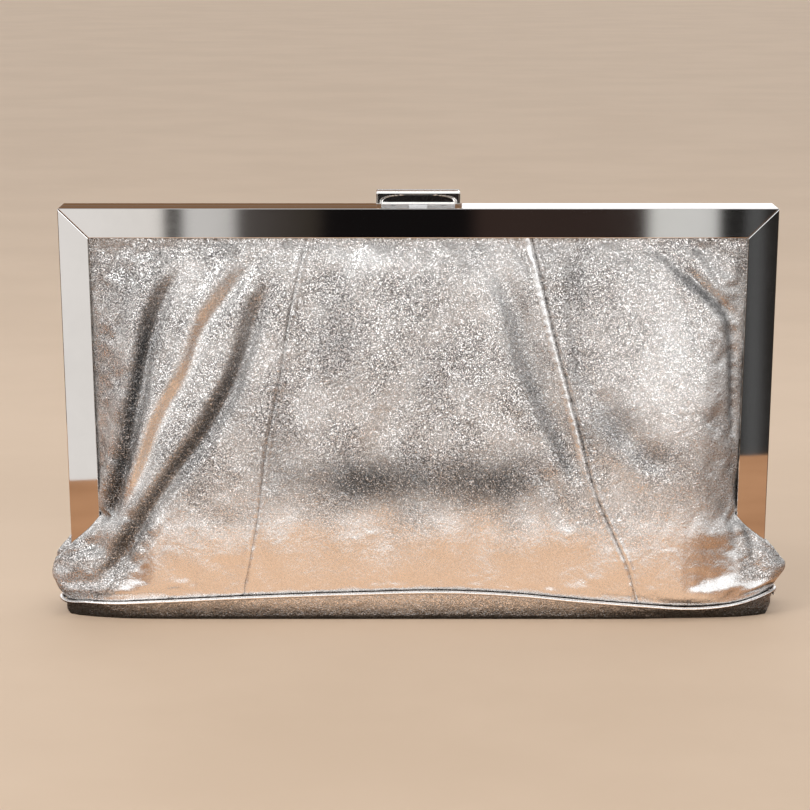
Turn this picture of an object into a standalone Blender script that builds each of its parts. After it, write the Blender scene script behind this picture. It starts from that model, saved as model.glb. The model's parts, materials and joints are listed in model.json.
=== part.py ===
"""Frame clutch purse: a two-part mirror frame hinged at the ends of its arms, a padded
leather pouch clamped in the frame's channels, and a lift latch on top of the frame.

Metres, +Z up. The front faces -Y, X runs along the width, and the origin is the middle of
the base on the surface that the purse stands on.
"""

import math

import bmesh
import bpy
from mathutils import Matrix, Vector

# Frame
FRAME_HALF_WIDTH = 0.136
FRAME_TOP = 0.156
ARM_LEAN = 0.024
CHANNEL_DEPTH = 0.010
CHANNEL_FACE = 0.0112
CHANNEL_BACK_LIP = 0.0085
CHANNEL_WALL = 0.0009
RETAINER = 0.0008
PARTING_GAP = 0.0002
MITRE_GAP = 0.00015
EDGE_ROUND = 0.00025
ARM_END = 0.0215

# Frame hinge
HINGE_HEIGHT = 0.0165
LEAF_THICKNESS = 0.0012
LEAF_RADIUS = 0.0045
LEAF_TOP = 0.048
RIVET_RADIUS = 0.0015
RIVET_HEAD_RADIUS = 0.0028
HOLE_CLEARANCE = 0.0002

# Leather pouch
LEATHER = 0.0012
BASE_TOP = 0.0036
BASE_HALF_LENGTH = 0.1375
CHEEK_REACH = 0.1415
CHEEK_HEIGHT = 0.015
BELLY_HEIGHT = 0.015
BELLY_DEPTH = 0.025
TUCK_DEPTH = 0.0090
TUCK_REACH = 0.0065
TUCK_END = 0.040
OVERLAP_TOP = 0.036
OVERLAP_DEPTH = 0.0119
GAP = 0.0003
SEAM_GAP = 0.00015
FRONT_SEAMS = ((-0.041, -0.065), (0.042, 0.080))
BACK_SEAMS = ((-0.041, -0.072), (0.041, 0.072))

# Padding, lining and base
PADDING = 0.0028
PADDING_HALF_WIDTH = 0.116
PADDING_BOTTOM = 0.006
PADDING_SPLIT = (0.042, 0.048)
PADDING_TOP = 0.138
LAYER_GAP = 0.0008
LINING = 0.0005
LINING_SLOT_DEPTH = 0.0064
POCKET_HALF_WIDTH = 0.045
POCKET_SPAN = (0.050, 0.110)
BASE_DEPTH = 0.0235
PIPING_RADIUS = 0.0011
PIPING_HEIGHT = 0.0022
GUSSET_TOP = 0.100
GUSSET = 0.0008
FOLD_START = 0.1195
FOLD_SLOPE = 0.38

# Latch
LEVER_HALF_WIDTH = 0.0159
LEVER_FRONT = -0.0055
LEVER_BACK = 0.0069
LEVER_BOTTOM = FRAME_TOP + 0.0012
LEVER_TOP = FRAME_TOP + 0.0057
LEVER_WALL = 0.0012
LEVER_ROOF = 0.0007
LEVER_HOLLOW_FRONT = -0.0025
PIVOT = (0.0050, FRAME_TOP + 0.0032)
PIN_RADIUS = 0.0007
ARCH_HALF_SPAN = 0.0138
ARCH_RISE = 0.0036
ARCH_TILT = math.radians(52)
KEEPER_NOSE = (-0.0022, -0.0015)
SMALL_RIVET_RADIUS = 0.0006
SMALL_RIVET_HEAD = 0.0011

WINDOW_TOP = FRAME_TOP - CHANNEL_FACE
LEATHER_TOP = WINDOW_TOP + TUCK_REACH
ROUND_STEPS = 24
SMALL_STEPS = 12


# Materials

def make_material(name, colour, roughness, metallic):
    material = bpy.data.materials.new(name)
    material.use_nodes = True
    shader = material.node_tree.nodes["Principled BSDF"]
    shader.inputs["Base Color"].default_value = (*colour, 1.0)
    shader.inputs["Roughness"].default_value = roughness
    shader.inputs["Metallic"].default_value = metallic
    return material


def make_materials():
    return {
        "mirror": make_material("mirror_plate", (0.86, 0.86, 0.87), 0.04, 1.0),
        "steel": make_material("plain_steel", (0.56, 0.57, 0.58), 0.30, 1.0),
        "leather": make_material("silver_leather", (0.80, 0.79, 0.78), 0.30, 0.9),
        "foam": make_material("foam", (0.88, 0.86, 0.80), 0.95, 0.0),
        "lining": make_material("satin_lining", (0.30, 0.30, 0.32), 0.55, 0.0),
        "board": make_material("grey_board", (0.45, 0.44, 0.42), 0.85, 0.0),
    }


# Building blocks

def add_object(name, mesh_builder, material):
    """A new object from a bmesh, with its faces turned outwards and its origin in its middle."""
    bmesh.ops.recalc_face_normals(mesh_builder, faces=mesh_builder.faces)
    spots = [vert.co for vert in mesh_builder.verts]
    low = Vector([min(spot[i] for spot in spots) for i in range(3)])
    high = Vector([max(spot[i] for spot in spots) for i in range(3)])
    middle = (low + high) / 2
    bmesh.ops.translate(mesh_builder, vec=-middle, verts=mesh_builder.verts)
    mesh = bpy.data.meshes.new(name)
    mesh_builder.to_mesh(mesh)
    mesh_builder.free()
    if material is not None:
        mesh.materials.append(material)
    obj = bpy.data.objects.new(name, mesh)
    obj.location = middle
    bpy.context.scene.collection.objects.link(obj)
    return obj


def hang(child, parent):
    """Parents an object without moving it. No object here is turned or scaled."""
    child.parent = parent
    child.location -= parent.location


def smooth(obj, degrees=35):
    obj.data.shade_smooth()
    obj.data.set_sharp_from_angle(angle=math.radians(degrees))
    return obj


def round_edges(obj, width=EDGE_ROUND, segments=2):
    bevel = obj.modifiers.new("edge_round", "BEVEL")
    bevel.width = width
    bevel.segments = segments
    bevel.limit_method = "ANGLE"
    bevel.angle_limit = math.radians(40)
    return obj


def combine(obj, helper, operation):
    """Cuts the helper's shape out of obj, or adds it. The helper stays, hidden, on the piece."""
    helper.hide_render = True
    helper.display_type = "WIRE"
    boolean = obj.modifiers.new(helper.name, "BOOLEAN")
    boolean.operation = operation
    boolean.object = helper
    if helper.parent is None:
        hang(helper, obj)
    return obj


def cut(obj, cutter):
    return combine(obj, cutter, "DIFFERENCE")


def join(obj, addition):
    return combine(obj, addition, "UNION")


def box(name, low, high, material=None):
    builder = bmesh.new()
    bmesh.ops.create_cube(builder, size=1.0)
    size = Vector(high) - Vector(low)
    centre = (Vector(high) + Vector(low)) / 2
    bmesh.ops.scale(builder, vec=size, verts=builder.verts)
    bmesh.ops.translate(builder, vec=centre, verts=builder.verts)
    return add_object(name, builder, material)


def slab(name, outline, near, far, material):
    """A flat plate: an outline of (x, z) points, from one depth to the other."""
    builder = bmesh.new()
    rings = [[builder.verts.new((x, y, z)) for x, z in outline] for y in (near, far)]
    for i in range(len(outline)):
        j = (i + 1) % len(outline)
        builder.faces.new((rings[0][i], rings[0][j], rings[1][j], rings[1][i]))
    builder.faces.new(rings[0])
    builder.faces.new(rings[1])
    return add_object(name, builder, material)


def turned(name, profile, centre, direction, material=None, steps=ROUND_STEPS):
    """A solid turned from (distance along the axis, radius) pairs, round an axis through centre."""
    builder = bmesh.new()
    rings = []
    for along, radius in profile:
        ring = [
            builder.verts.new((radius * math.cos(a), radius * math.sin(a), along))
            for a in (2 * math.pi * i / steps for i in range(steps))
        ]
        rings.append(ring)
    for lower, upper in zip(rings, rings[1:]):
        for i in range(steps):
            j = (i + 1) % steps
            builder.faces.new((lower[i], lower[j], upper[j], upper[i]))
    builder.faces.new(rings[0])
    builder.faces.new(rings[-1])
    turn = Vector((0, 0, 1)).rotation_difference(Vector(direction)).to_matrix().to_4x4()
    bmesh.ops.transform(builder, matrix=Matrix.Translation(centre) @ turn, verts=builder.verts)
    return smooth(add_object(name, builder, material))


def cylinder(name, start, end, radius, material=None, steps=ROUND_STEPS):
    span = Vector(end) - Vector(start)
    return turned(name, [(0.0, radius), (span.length, radius)], start, span, material, steps)


def shell(name, outer, inner, material):
    """A closed sheet between two grids of points, which have the same rows and columns."""
    builder = bmesh.new()
    grids = [[[builder.verts.new(p) for p in row] for row in grid] for grid in (outer, inner)]
    rows, columns = len(outer), len(outer[0])
    for grid in grids:
        for r in range(rows - 1):
            for c in range(columns - 1):
                corners = (grid[r][c], grid[r][c + 1], grid[r + 1][c + 1], grid[r + 1][c])
                builder.faces.new(corners)
    rim = [(0, c) for c in range(columns)]
    rim += [(r, columns - 1) for r in range(1, rows)]
    rim += [(rows - 1, c) for c in range(columns - 2, -1, -1)]
    rim += [(r, 0) for r in range(rows - 2, 0, -1)]
    for (r0, c0), (r1, c1) in zip(rim, rim[1:] + rim[:1]):
        near, far = grids
        builder.faces.new((near[r0][c0], near[r1][c1], far[r1][c1], far[r0][c0]))
    return smooth(add_object(name, builder, material), 50)


def spread(low, high, count):
    return [low + (high - low) * i / (count - 1) for i in range(count)]


def mix(a, b, share):
    return a + (b - a) * share


def ramp(value, low, high):
    share = min(1.0, max(0.0, (value - low) / (high - low)))
    return share * share * (3 - 2 * share)


# Frame: each half is a channel of three mitred strips, open towards the pouch

def frame_half_width(z):
    """Half the frame's outer width: its arms lean in towards the hinge."""
    return FRAME_HALF_WIDTH - (FRAME_TOP - z) * ARM_LEAN


def window_half(z):
    return frame_half_width(z) - CHANNEL_FACE


def channel_profile():
    """(inward, depth) points of the channel: its visible face, outer wall and back lip."""
    wall, face, lip, depth = CHANNEL_WALL, CHANNEL_FACE, CHANNEL_BACK_LIP, CHANNEL_DEPTH
    return [
        (0, 0), (face, 0), (face, wall), (wall, wall),
        (wall, depth - wall), (lip, depth - wall), (lip, depth), (0, depth),
    ]


def strip(name, place, side, material):
    """One strip of the frame. side is -1 for the front half and 1 for the back half."""
    builder = bmesh.new()
    face_y = side * (PARTING_GAP + CHANNEL_DEPTH)
    ends = []
    for start in (True, False):
        ring = []
        for inward, depth in channel_profile():
            y = face_y - side * depth
            if place == "top":
                z = FRAME_TOP - inward
                x = (frame_half_width(z) - inward - MITRE_GAP) * (-1 if start else 1)
            else:
                z = ARM_END if start else FRAME_TOP - inward - MITRE_GAP
                x = (frame_half_width(z) - inward) * (-1 if place == "left" else 1)
            ring.append(builder.verts.new((x, y, z)))
        ends.append(ring)
    count = len(ends[0])
    for i in range(count):
        j = (i + 1) % count
        builder.faces.new((ends[0][i], ends[0][j], ends[1][j], ends[1][i]))
    builder.faces.new(ends[0])
    builder.faces.new(ends[1])
    return smooth(round_edges(add_object(name, builder, material)))


def retainer(name, place, side, material):
    """A strip of steel in the channel, which presses the leather's edge against the face."""
    far = TUCK_DEPTH - LEATHER - GAP
    reach = TUCK_REACH - GAP
    if place == "top":
        half, low, high = window_half(WINDOW_TOP) + reach, WINDOW_TOP + 0.0005, LEATHER_TOP
        outline = [(-half, low), (half, low), (half, high), (-half, high)]
    else:
        outward = -1 if place == "left" else 1
        low, high = TUCK_END + 0.004, WINDOW_TOP + 0.0002
        edges = ((low, 0.0005), (low, reach), (high, reach), (high, 0.0005))
        outline = [(outward * (window_half(z) + inset), z) for z, inset in edges]
    return slab(name, outline, side * (far - RETAINER), side * far, material)


def build_frame_half(half, side, materials):
    parts = {}
    for place, word in (("top", "top_rail"), ("left", "left_arm"), ("right", "right_arm")):
        parts[place] = strip(f"{half}_{word}", place, side, materials["mirror"])
        retainer(f"{half}_{place}_retainer", place, side, materials["steel"])
    return parts


# Frame hinge: two leaves and a rivet at the end of each pair of arms

def hinge_leaf(name, outward, side, material):
    """A leaf that rises into one arm's channel and ends in an eye on the hinge axis.

    The front leaf's eye lies one thickness further in than the back leaf's, with a bend
    above the eye.
    """
    eye_face = frame_half_width(ARM_END) - CHANNEL_WALL - GAP
    step = (LEAF_THICKNESS + GAP) if side < 0 else 0.0
    near, far = sorted((side * 0.0014, side * 0.0072))
    outline = []
    for height in (LEAF_TOP, 0.030, 0.026):
        face = frame_half_width(height) - CHANNEL_WALL - GAP
        outline.append((height, near, far, face))
    outline.append((ARM_END - 0.0002, near, far, eye_face - step))
    for angle in (75, 50, 25, 0, -25, -50, -75):
        rise = LEAF_RADIUS * math.sin(math.radians(angle))
        half = LEAF_RADIUS * math.cos(math.radians(angle))
        outline.append((HINGE_HEIGHT + rise, -half, half, eye_face - step))
    outer, inner = [], []
    for height, y0, y1, face in outline:
        outer.append([(outward * face, y, height) for y in (y0, y1)])
        inner.append([(outward * (face - LEAF_THICKNESS), y, height) for y in (y0, y1)])
    leaf = shell(name, outer, inner, material)
    reach = 0.01
    axis_x = outward * (eye_face - LEAF_THICKNESS)
    hole = cylinder(
        name + "_hole",
        (axis_x - reach, 0, HINGE_HEIGHT),
        (axis_x + reach, 0, HINGE_HEIGHT),
        RIVET_RADIUS + HOLE_CLEARANCE,
    )
    return cut(leaf, hole)


def build_hinge(word, outward, materials):
    hinge_leaf(f"{word}_hinge_back_leaf", outward, 1, materials["steel"])
    hinge_leaf(f"{word}_hinge_front_leaf", outward, -1, materials["steel"])
    outer_face = frame_half_width(ARM_END) - CHANNEL_WALL - GAP
    inner_face = outer_face - 2 * LEAF_THICKNESS - GAP
    head = 0.0009
    grip = outer_face - inner_face + GAP
    profile = [
        (-GAP - head, RIVET_HEAD_RADIUS * 0.7),
        (-GAP - head * 0.4, RIVET_HEAD_RADIUS),
        (-GAP, RIVET_HEAD_RADIUS),
        (-GAP, RIVET_RADIUS),
        (grip, RIVET_RADIUS),
        (grip, RIVET_HEAD_RADIUS),
        (grip + head * 0.4, RIVET_HEAD_RADIUS),
        (grip + head, RIVET_HEAD_RADIUS * 0.7),
    ]
    centre = (outward * inner_face, 0, HINGE_HEIGHT)
    turned(f"{word}_hinge_rivet", profile, centre, (outward, 0, 0), materials["mirror"])


# Pouch: how far its layers stand out from the parting plane

def belly(z):
    """Depth of the leather at the middle of the width."""
    if z >= WINDOW_TOP:
        return TUCK_DEPTH
    if z >= BELLY_HEIGHT:
        share = (WINDOW_TOP - z) / (WINDOW_TOP - BELLY_HEIGHT)
        return mix(TUCK_DEPTH, BELLY_DEPTH, share ** 0.8)
    return BELLY_DEPTH - 0.0014 * ((BELLY_HEIGHT - z) / (BELLY_HEIGHT - BASE_TOP)) ** 2


def side_reach(z):
    """Half the width of the front and back panels, which bulge into cheeks below the arms."""
    if z >= TUCK_END:
        return window_half(z) + TUCK_REACH
    if z >= OVERLAP_TOP:
        return window_half(z) - 0.0004
    if z >= CHEEK_HEIGHT:
        share = (OVERLAP_TOP - z) / (OVERLAP_TOP - CHEEK_HEIGHT)
        return mix(window_half(OVERLAP_TOP) - 0.0004, CHEEK_REACH, math.sin(share * math.pi / 2))
    share = (CHEEK_HEIGHT - z) / (CHEEK_HEIGHT - BASE_TOP)
    return mix(CHEEK_REACH, BASE_HALF_LENGTH, share * share)


def leather_depth(x, z):
    """Depth of the leather's outer surface at a point of the front or back."""
    tucked = ramp(z, OVERLAP_TOP, TUCK_END - 0.0004)
    edge = mix(OVERLAP_DEPTH, TUCK_DEPTH, tucked)
    half = window_half(z) - 0.0006 if z >= OVERLAP_TOP else side_reach(z)
    across = min(1.0, abs(x) / half)
    swell = math.sqrt(max(0.0, 1 - across ** 4))
    return edge + max(0.0, belly(z) - edge) * swell


def padding_depths(x, z):
    """Outer and inner depth of the padding, which is thinner where the leather turns in."""
    outer = min(leather_depth(x, z), leather_depth(x * 1.03, z)) - LEATHER - LAYER_GAP
    return outer, max(outer - PADDING, LINING_SLOT_DEPTH + LAYER_GAP)


def lining_depths(x, z):
    inner = padding_depths(x, z)[1] if abs(x) <= PADDING_HALF_WIDTH else 0.0
    outer = max(inner - LAYER_GAP, LINING_SLOT_DEPTH)
    return outer, outer - LINING


def seam_x(seam, z):
    top, bottom = seam
    return mix(bottom, top, (z - BASE_TOP) / (WINDOW_TOP - BASE_TOP))


PANEL_ROWS = [
    BASE_TOP, 0.0065, 0.0105, CHEEK_HEIGHT, 0.020, 0.025, 0.031, OVERLAP_TOP,
    TUCK_END - 0.0004, TUCK_END, 0.052, 0.066, 0.082, 0.098, 0.113, 0.127, 0.138,
    WINDOW_TOP, LEATHER_TOP,
]
LOWER_ROWS = spread(PADDING_BOTTOM, PADDING_SPLIT[0], 4)
UPPER_ROWS = spread(PADDING_SPLIT[1], PADDING_TOP, 8)
PADDING_COLUMNS = spread(-PADDING_HALF_WIDTH, PADDING_HALF_WIDTH, 13)


def panel_columns(word, z, seams):
    left_seam, right_seam = (seam_x(seam, z) for seam in seams)
    if word == "center":
        return spread(left_seam + SEAM_GAP, right_seam - SEAM_GAP, 8)
    edge, bend = side_reach(z), window_half(max(z, TUCK_END)) - 0.0006
    if word == "left":
        return [-edge] + spread(-bend, left_seam - SEAM_GAP, 9)
    return spread(right_seam + SEAM_GAP, bend, 9) + [edge]


def layer(name, rows, columns_at, depths_at, side, material):
    """A soft sheet whose outer and inner depth at each point come from depths_at."""
    outer, inner = [], []
    for z in rows:
        outer_row, inner_row = [], []
        for x in columns_at(z):
            out, back = depths_at(x, z)
            outer_row.append((x, side * out, z))
            inner_row.append((x, side * back, z))
        outer.append(outer_row)
        inner.append(inner_row)
    return shell(name, outer, inner, material)


def build_panels(half, side, seams, materials):
    def depths(x, z):
        out = leather_depth(x, z)
        return out, out - LEATHER

    for word in ("left", "center", "right"):
        layer(
            f"{half}_{word}_panel", PANEL_ROWS,
            lambda z, word=word: panel_columns(word, z, seams),
            depths, side, materials["leather"],
        )


def build_padding(name, side, rows, materials):
    layer(name, rows, lambda z: PADDING_COLUMNS, padding_depths, side, materials["foam"])


def build_lining(name, side, materials):
    """The lining lies inside the padding, and its edges run into the frame's channel."""
    def columns(z):
        if z < PADDING_SPLIT[1]:
            return [-PADDING_HALF_WIDTH - 0.0015] + PADDING_COLUMNS + [PADDING_HALF_WIDTH + 0.0015]
        edge = window_half(z) + TUCK_REACH - GAP
        return [-edge] + PADDING_COLUMNS + [edge]

    rows = LOWER_ROWS + UPPER_ROWS + [LEATHER_TOP]
    layer(name, rows, columns, lining_depths, side, materials["lining"])


def build_pocket(materials):
    def depths(x, z):
        outer = lining_depths(x, z)[1] - LAYER_GAP
        return outer, outer - LINING

    rows = spread(*POCKET_SPAN, 6)
    columns = spread(-POCKET_HALF_WIDTH, POCKET_HALF_WIDTH, 7)
    layer("slip_pocket", rows, lambda z: columns, depths, 1, materials["lining"])


# Sides: each gusset bulges below the hinge, passes under it and folds inwards above it

def fold_middle(z):
    """Where the gusset's inner crease lies, deep enough to let the arms open."""
    return FOLD_START - (z - HINGE_HEIGHT) * FOLD_SLOPE


def build_gusset(word, outward, materials):
    bulge_depth = OVERLAP_DEPTH - LEATHER - 0.0012
    fold_depth = 0.0024
    rows = [
        # (height, middle x, edge x, edge depth, share of the thickness that widens it)
        (BASE_TOP, 0.1365, 0.1350, bulge_depth, 0.0),
        (0.0060, 0.1388, 0.1372, bulge_depth, 0.0),
        (0.0085, 0.1390, 0.1375, bulge_depth, 0.0),
        (0.0103, 0.1370, 0.1360, bulge_depth, 0.0),
        (0.0110, 0.1320, 0.1320, bulge_depth, 0.0),
        (0.0110, 0.1250, 0.1255, bulge_depth, 0.0),
        (0.0135, 0.1215, 0.1222, 0.0080, 0.5),
    ]
    for z, edge in ((0.020, 0.1208), (0.028, 0.1208), (TUCK_END - 0.001, 0.1210)):
        rows.append((z, fold_middle(z), edge, fold_depth, 1.0))
    for z, edge in ((TUCK_END + 0.001, 0.1280), (0.070, 0.1290), (GUSSET_TOP, 0.1295)):
        rows.append((z, fold_middle(z), edge, fold_depth, 1.0))
    outer, inner = [], []
    for i, (z, middle, edge, depth, widen) in enumerate(rows):
        before = rows[max(0, i - 1)]
        after = rows[min(len(rows) - 1, i + 1)]
        rise = Vector((after[1] - before[1], after[0] - before[0])).normalized()
        outer_row, inner_row = [], []
        for share in (-1.0, -0.6, 0.0, 0.6, 1.0):
            x = edge if abs(share) == 1 else middle
            y = depth * share
            thick = math.copysign(GUSSET * widen, share) if share else 0.0
            outer_row.append((outward * x, y, z))
            inner_x, inner_z = x - GUSSET * rise.y, z + GUSSET * rise.x
            inner_row.append((outward * inner_x, y + thick, inner_z))
        outer.append(outer_row)
        inner.append(inner_row)
    shell(f"{word}_gusset", outer, inner, materials["leather"])


# Base: a leather bottom over a board, with piping round its edge

def base_outline(half_length, half_depth, steps=10):
    """A rectangle in plan with fully rounded corners, as (x, y) points."""
    radius = half_depth * 0.8
    points = []
    for corner, (sx, sy) in enumerate(((1, 1), (-1, 1), (-1, -1), (1, -1))):
        cx, cy = sx * (half_length - radius), sy * (half_depth - radius)
        for i in range(steps):
            a = math.pi / 2 * (corner + i / (steps - 1))
            points.append((cx + radius * math.cos(a), cy + radius * math.sin(a)))
    return points


def plate(name, outline, low, high, material):
    builder = bmesh.new()
    rings = [[builder.verts.new((x, y, z)) for x, y in outline] for z in (low, high)]
    for i in range(len(outline)):
        j = (i + 1) % len(outline)
        builder.faces.new((rings[0][i], rings[0][j], rings[1][j], rings[1][i]))
    builder.faces.new(rings[0])
    builder.faces.new(rings[1])
    return smooth(add_object(name, builder, material))


def build_base(materials):
    length = BASE_HALF_LENGTH - 0.002
    plate("base_panel", base_outline(length, BASE_DEPTH), 0.0, 0.0012, materials["leather"])
    board = base_outline(length - 0.008, BASE_DEPTH - 0.004)
    plate("base_board", board, 0.0015, 0.0030, materials["board"])
    lining = base_outline(length - 0.012, BASE_DEPTH - 0.0065)
    plate("base_lining", lining, 0.0033, 0.0038, materials["lining"])
    path = base_outline(length + PIPING_RADIUS + GAP, BASE_DEPTH + PIPING_RADIUS + GAP, 8)
    ring_steps = 8
    builder = bmesh.new()
    rings = []
    count = len(path)
    for i, (x, y) in enumerate(path):
        ahead = Vector(path[(i + 1) % count]) - Vector(path[i - 1])
        out = Vector((ahead.y, -ahead.x)).normalized()
        ring = []
        for k in range(ring_steps):
            a = 2 * math.pi * k / ring_steps
            r = PIPING_RADIUS * math.cos(a)
            z = PIPING_HEIGHT + PIPING_RADIUS * math.sin(a)
            ring.append(builder.verts.new((x + out.x * r, y + out.y * r, z)))
        rings.append(ring)
    for i in range(count):
        here, there = rings[i], rings[(i + 1) % count]
        for k in range(ring_steps):
            m = (k + 1) % ring_steps
            builder.faces.new((here[k], here[m], there[m], there[k]))
    smooth(add_object("base_piping", builder, materials["leather"]), 60)


# Latch: a sprung lever on the back rail, which reaches over a keeper on the front rail

def small_rivet(name, x, y, plate_top, materials):
    web_bottom = FRAME_TOP - CHANNEL_WALL
    grip = plate_top - web_bottom + GAP
    head = 0.0005
    profile = [
        (-GAP - head, SMALL_RIVET_HEAD), (-GAP, SMALL_RIVET_HEAD), (-GAP, SMALL_RIVET_RADIUS),
        (grip, SMALL_RIVET_RADIUS), (grip, SMALL_RIVET_HEAD), (grip + head, SMALL_RIVET_HEAD * 0.75),
    ]
    turned(name, profile, (x, y, web_bottom), (0, 0, 1), materials["steel"], SMALL_STEPS)


def build_keeper(rail, materials):
    """A plate brazed under the front rail, with a nose that stands up through a slot."""
    top = FRAME_TOP - CHANNEL_WALL - GAP
    front, back = KEEPER_NOSE
    keeper = box("latch_keeper", (-0.0065, -0.0070, top - 0.0008), (0.0065, back, top), materials["steel"])
    nose_low = (-0.0035, front, top - 0.0004)
    join(keeper, box("keeper_nose", nose_low, (0.0035, back, LEVER_BOTTOM - GAP)))
    slot_low = (-0.0035 - GAP, front - GAP, FRAME_TOP - 0.002)
    cut(rail, box("keeper_slot", slot_low, (0.0035 + GAP, back + GAP, FRAME_TOP + 0.002)))


def build_bracket(rail, materials):
    """The plate on the back rail, with two ears that carry the lever's pin."""
    low, top = FRAME_TOP + GAP, FRAME_TOP + 0.0010
    ear_inner, ear_outer = 0.0128, 0.0140
    bracket = box("latch_bracket", (-ear_outer, 0.0012, low), (ear_outer, 0.0066, top), materials["steel"])
    pivot_y, pivot_z = PIVOT
    for word, sign in (("left", -1), ("right", 1)):
        near, far = sorted((sign * ear_inner, sign * ear_outer))
        ear_low, ear_high = (near, pivot_y - 0.0012, low + 0.0002), (far, pivot_y + 0.0012, pivot_z + 0.0012)
        join(bracket, box(f"{word}_ear", ear_low, ear_high))
    reach = LEVER_HALF_WIDTH + 0.002
    start, end = (-reach, pivot_y, pivot_z), (reach, pivot_y, pivot_z)
    pin_hole = cylinder("pin_hole", start, end, PIN_RADIUS + HOLE_CLEARANCE, None, SMALL_STEPS)
    cut(bracket, pin_hole)
    for word, x in (("left", -0.0095), ("right", 0.0095)):
        name, y = f"bracket_{word}_rivet", 0.0032
        radius = SMALL_RIVET_RADIUS + HOLE_CLEARANCE
        hole_low, hole_high = (x, y, FRAME_TOP - 0.004), (x, y, FRAME_TOP + 0.004)
        hole = cylinder(name + "_hole", hole_low, hole_high, radius, None, SMALL_STEPS)
        cut(bracket, hole)
        cut(rail, hole)
        small_rivet(name, x, y, top, materials)
    pin_end = LEVER_HALF_WIDTH - GAP
    start, end = (-pin_end, pivot_y, pivot_z), (pin_end, pivot_y, pivot_z)
    cylinder("latch_pin", start, end, PIN_RADIUS, materials["steel"], SMALL_STEPS)
    return pin_hole


def build_spring(materials):
    """A torsion spring round the pin: its coils, a leg on the plate and one under the lever."""
    pivot_y, pivot_z = PIVOT
    wire, radius, turns, steps = 0.0002, 0.00115, 6, 12
    half, leg = 0.0045, pivot_y - 0.0026
    points = [(-half, leg, FRAME_TOP + 0.00145)]
    for i in range(turns * steps + 1):
        angle = -math.pi / 2 - 2 * math.pi * i / steps
        x = mix(-half, half, i / (turns * steps))
        points.append((x, pivot_y + radius * math.cos(angle), pivot_z + radius * math.sin(angle)))
    points.append((half, leg, pivot_z + 0.0005))
    curve = bpy.data.curves.new("latch_spring", "CURVE")
    curve.dimensions = "3D"
    curve.bevel_depth = wire
    curve.bevel_resolution = 1
    curve.use_fill_caps = True
    spline = curve.splines.new("POLY")
    spline.points.add(len(points) - 1)
    pivot = Vector((0, pivot_y, pivot_z))
    for spot, place in zip(spline.points, points):
        spot.co = (*(Vector(place) - pivot), 1.0)
    curve.materials.append(materials["steel"])
    spring = bpy.data.objects.new("latch_spring", curve)
    spring.location = pivot
    bpy.context.scene.collection.objects.link(spring)


def build_arch():
    """The cutter of the finger scoop: a wide drum that slopes down into the lever's front."""
    fall, climb = math.cos(ARCH_TILT), math.tan(ARCH_TILT)
    radius = (ARCH_HALF_SPAN ** 2 + (ARCH_RISE * fall) ** 2) / (2 * ARCH_RISE * fall)
    centre = Vector((0, LEVER_FRONT, LEVER_BOTTOM + ARCH_RISE - radius / fall))
    along = Vector((0, -math.cos(ARCH_TILT), math.sin(ARCH_TILT)))
    start, end = centre + along * (radius * climb - 0.012), centre + along * (radius * climb + 0.010)
    return cylinder("lever_arch", start, end, radius, None, 160)


def build_lever(pin_hole, materials):
    """The lift lever: a cap that is hollow behind, with an arched finger scoop in front."""
    half, wall = LEVER_HALF_WIDTH, LEVER_WALL
    low, high = (-half, LEVER_FRONT, LEVER_BOTTOM), (half, LEVER_BACK, LEVER_TOP)
    lever = round_edges(box("latch_lever", low, high, materials["mirror"]), 0.0003)
    hollow_low = (-half + wall, LEVER_HOLLOW_FRONT, LEVER_BOTTOM - 0.002)
    cut(lever, box("lever_hollow", hollow_low, (half - wall, LEVER_BACK + 0.002, LEVER_TOP - LEVER_ROOF)))
    heel_low = (-half - 0.002, 0.0032, LEVER_BOTTOM - 0.002)
    cut(lever, box("lever_heel", heel_low, (half + 0.002, LEVER_BACK + 0.002, LEVER_BOTTOM + 0.0009)))
    cut(lever, build_arch())
    lip_low = (-half + wall, LEVER_FRONT + 0.0003, LEVER_BOTTOM + 0.0001)
    join(lever, box("lever_lip", lip_low, (half - wall, LEVER_HOLLOW_FRONT - 0.0003, LEVER_BOTTOM + 0.0006)))
    cut(lever, pin_hole)
    smooth(lever)


# Assembly

FRONT_HALF = (
    "front_top_rail", "front_left_arm", "front_right_arm",
    "front_top_retainer", "front_left_retainer", "front_right_retainer",
    "left_hinge_front_leaf", "right_hinge_front_leaf", "latch_keeper",
    "front_left_panel", "front_center_panel", "front_right_panel",
    "front_padding", "front_lining",
)


def clear_scene():
    for obj in list(bpy.data.objects):
        bpy.data.objects.remove(obj, do_unlink=True)


def put_on_axis(name, place, pieces):
    """An empty on a joint's axis, which carries the pieces that turn about it."""
    axis = bpy.data.objects.new(name, None)
    axis.empty_display_type = "ARROWS"
    axis.empty_display_size = 0.02
    axis.location = place
    bpy.context.scene.collection.objects.link(axis)
    for piece in pieces:
        hang(bpy.data.objects[piece], axis)


def build_purse():
    clear_scene()
    materials = make_materials()
    front = build_frame_half("front", -1, materials)
    back = build_frame_half("back", 1, materials)
    for word, outward in (("left", -1), ("right", 1)):
        build_hinge(word, outward, materials)
        build_gusset(word, outward, materials)
    build_panels("front", -1, FRONT_SEAMS, materials)
    build_panels("back", 1, BACK_SEAMS, materials)
    build_padding("front_padding", -1, UPPER_ROWS, materials)
    build_padding("front_lower_padding", -1, LOWER_ROWS, materials)
    build_padding("back_padding", 1, LOWER_ROWS + UPPER_ROWS, materials)
    build_lining("front_lining", -1, materials)
    build_lining("back_lining", 1, materials)
    build_pocket(materials)
    build_base(materials)
    build_keeper(front["top"], materials)
    pin_hole = build_bracket(back["top"], materials)
    build_spring(materials)
    build_lever(pin_hole, materials)
    put_on_axis("frame_hinge_axis", (0, 0, HINGE_HEIGHT), FRONT_HALF)
    put_on_axis("latch_axis", (0, *PIVOT), ("latch_lever",))


build_purse()
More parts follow.
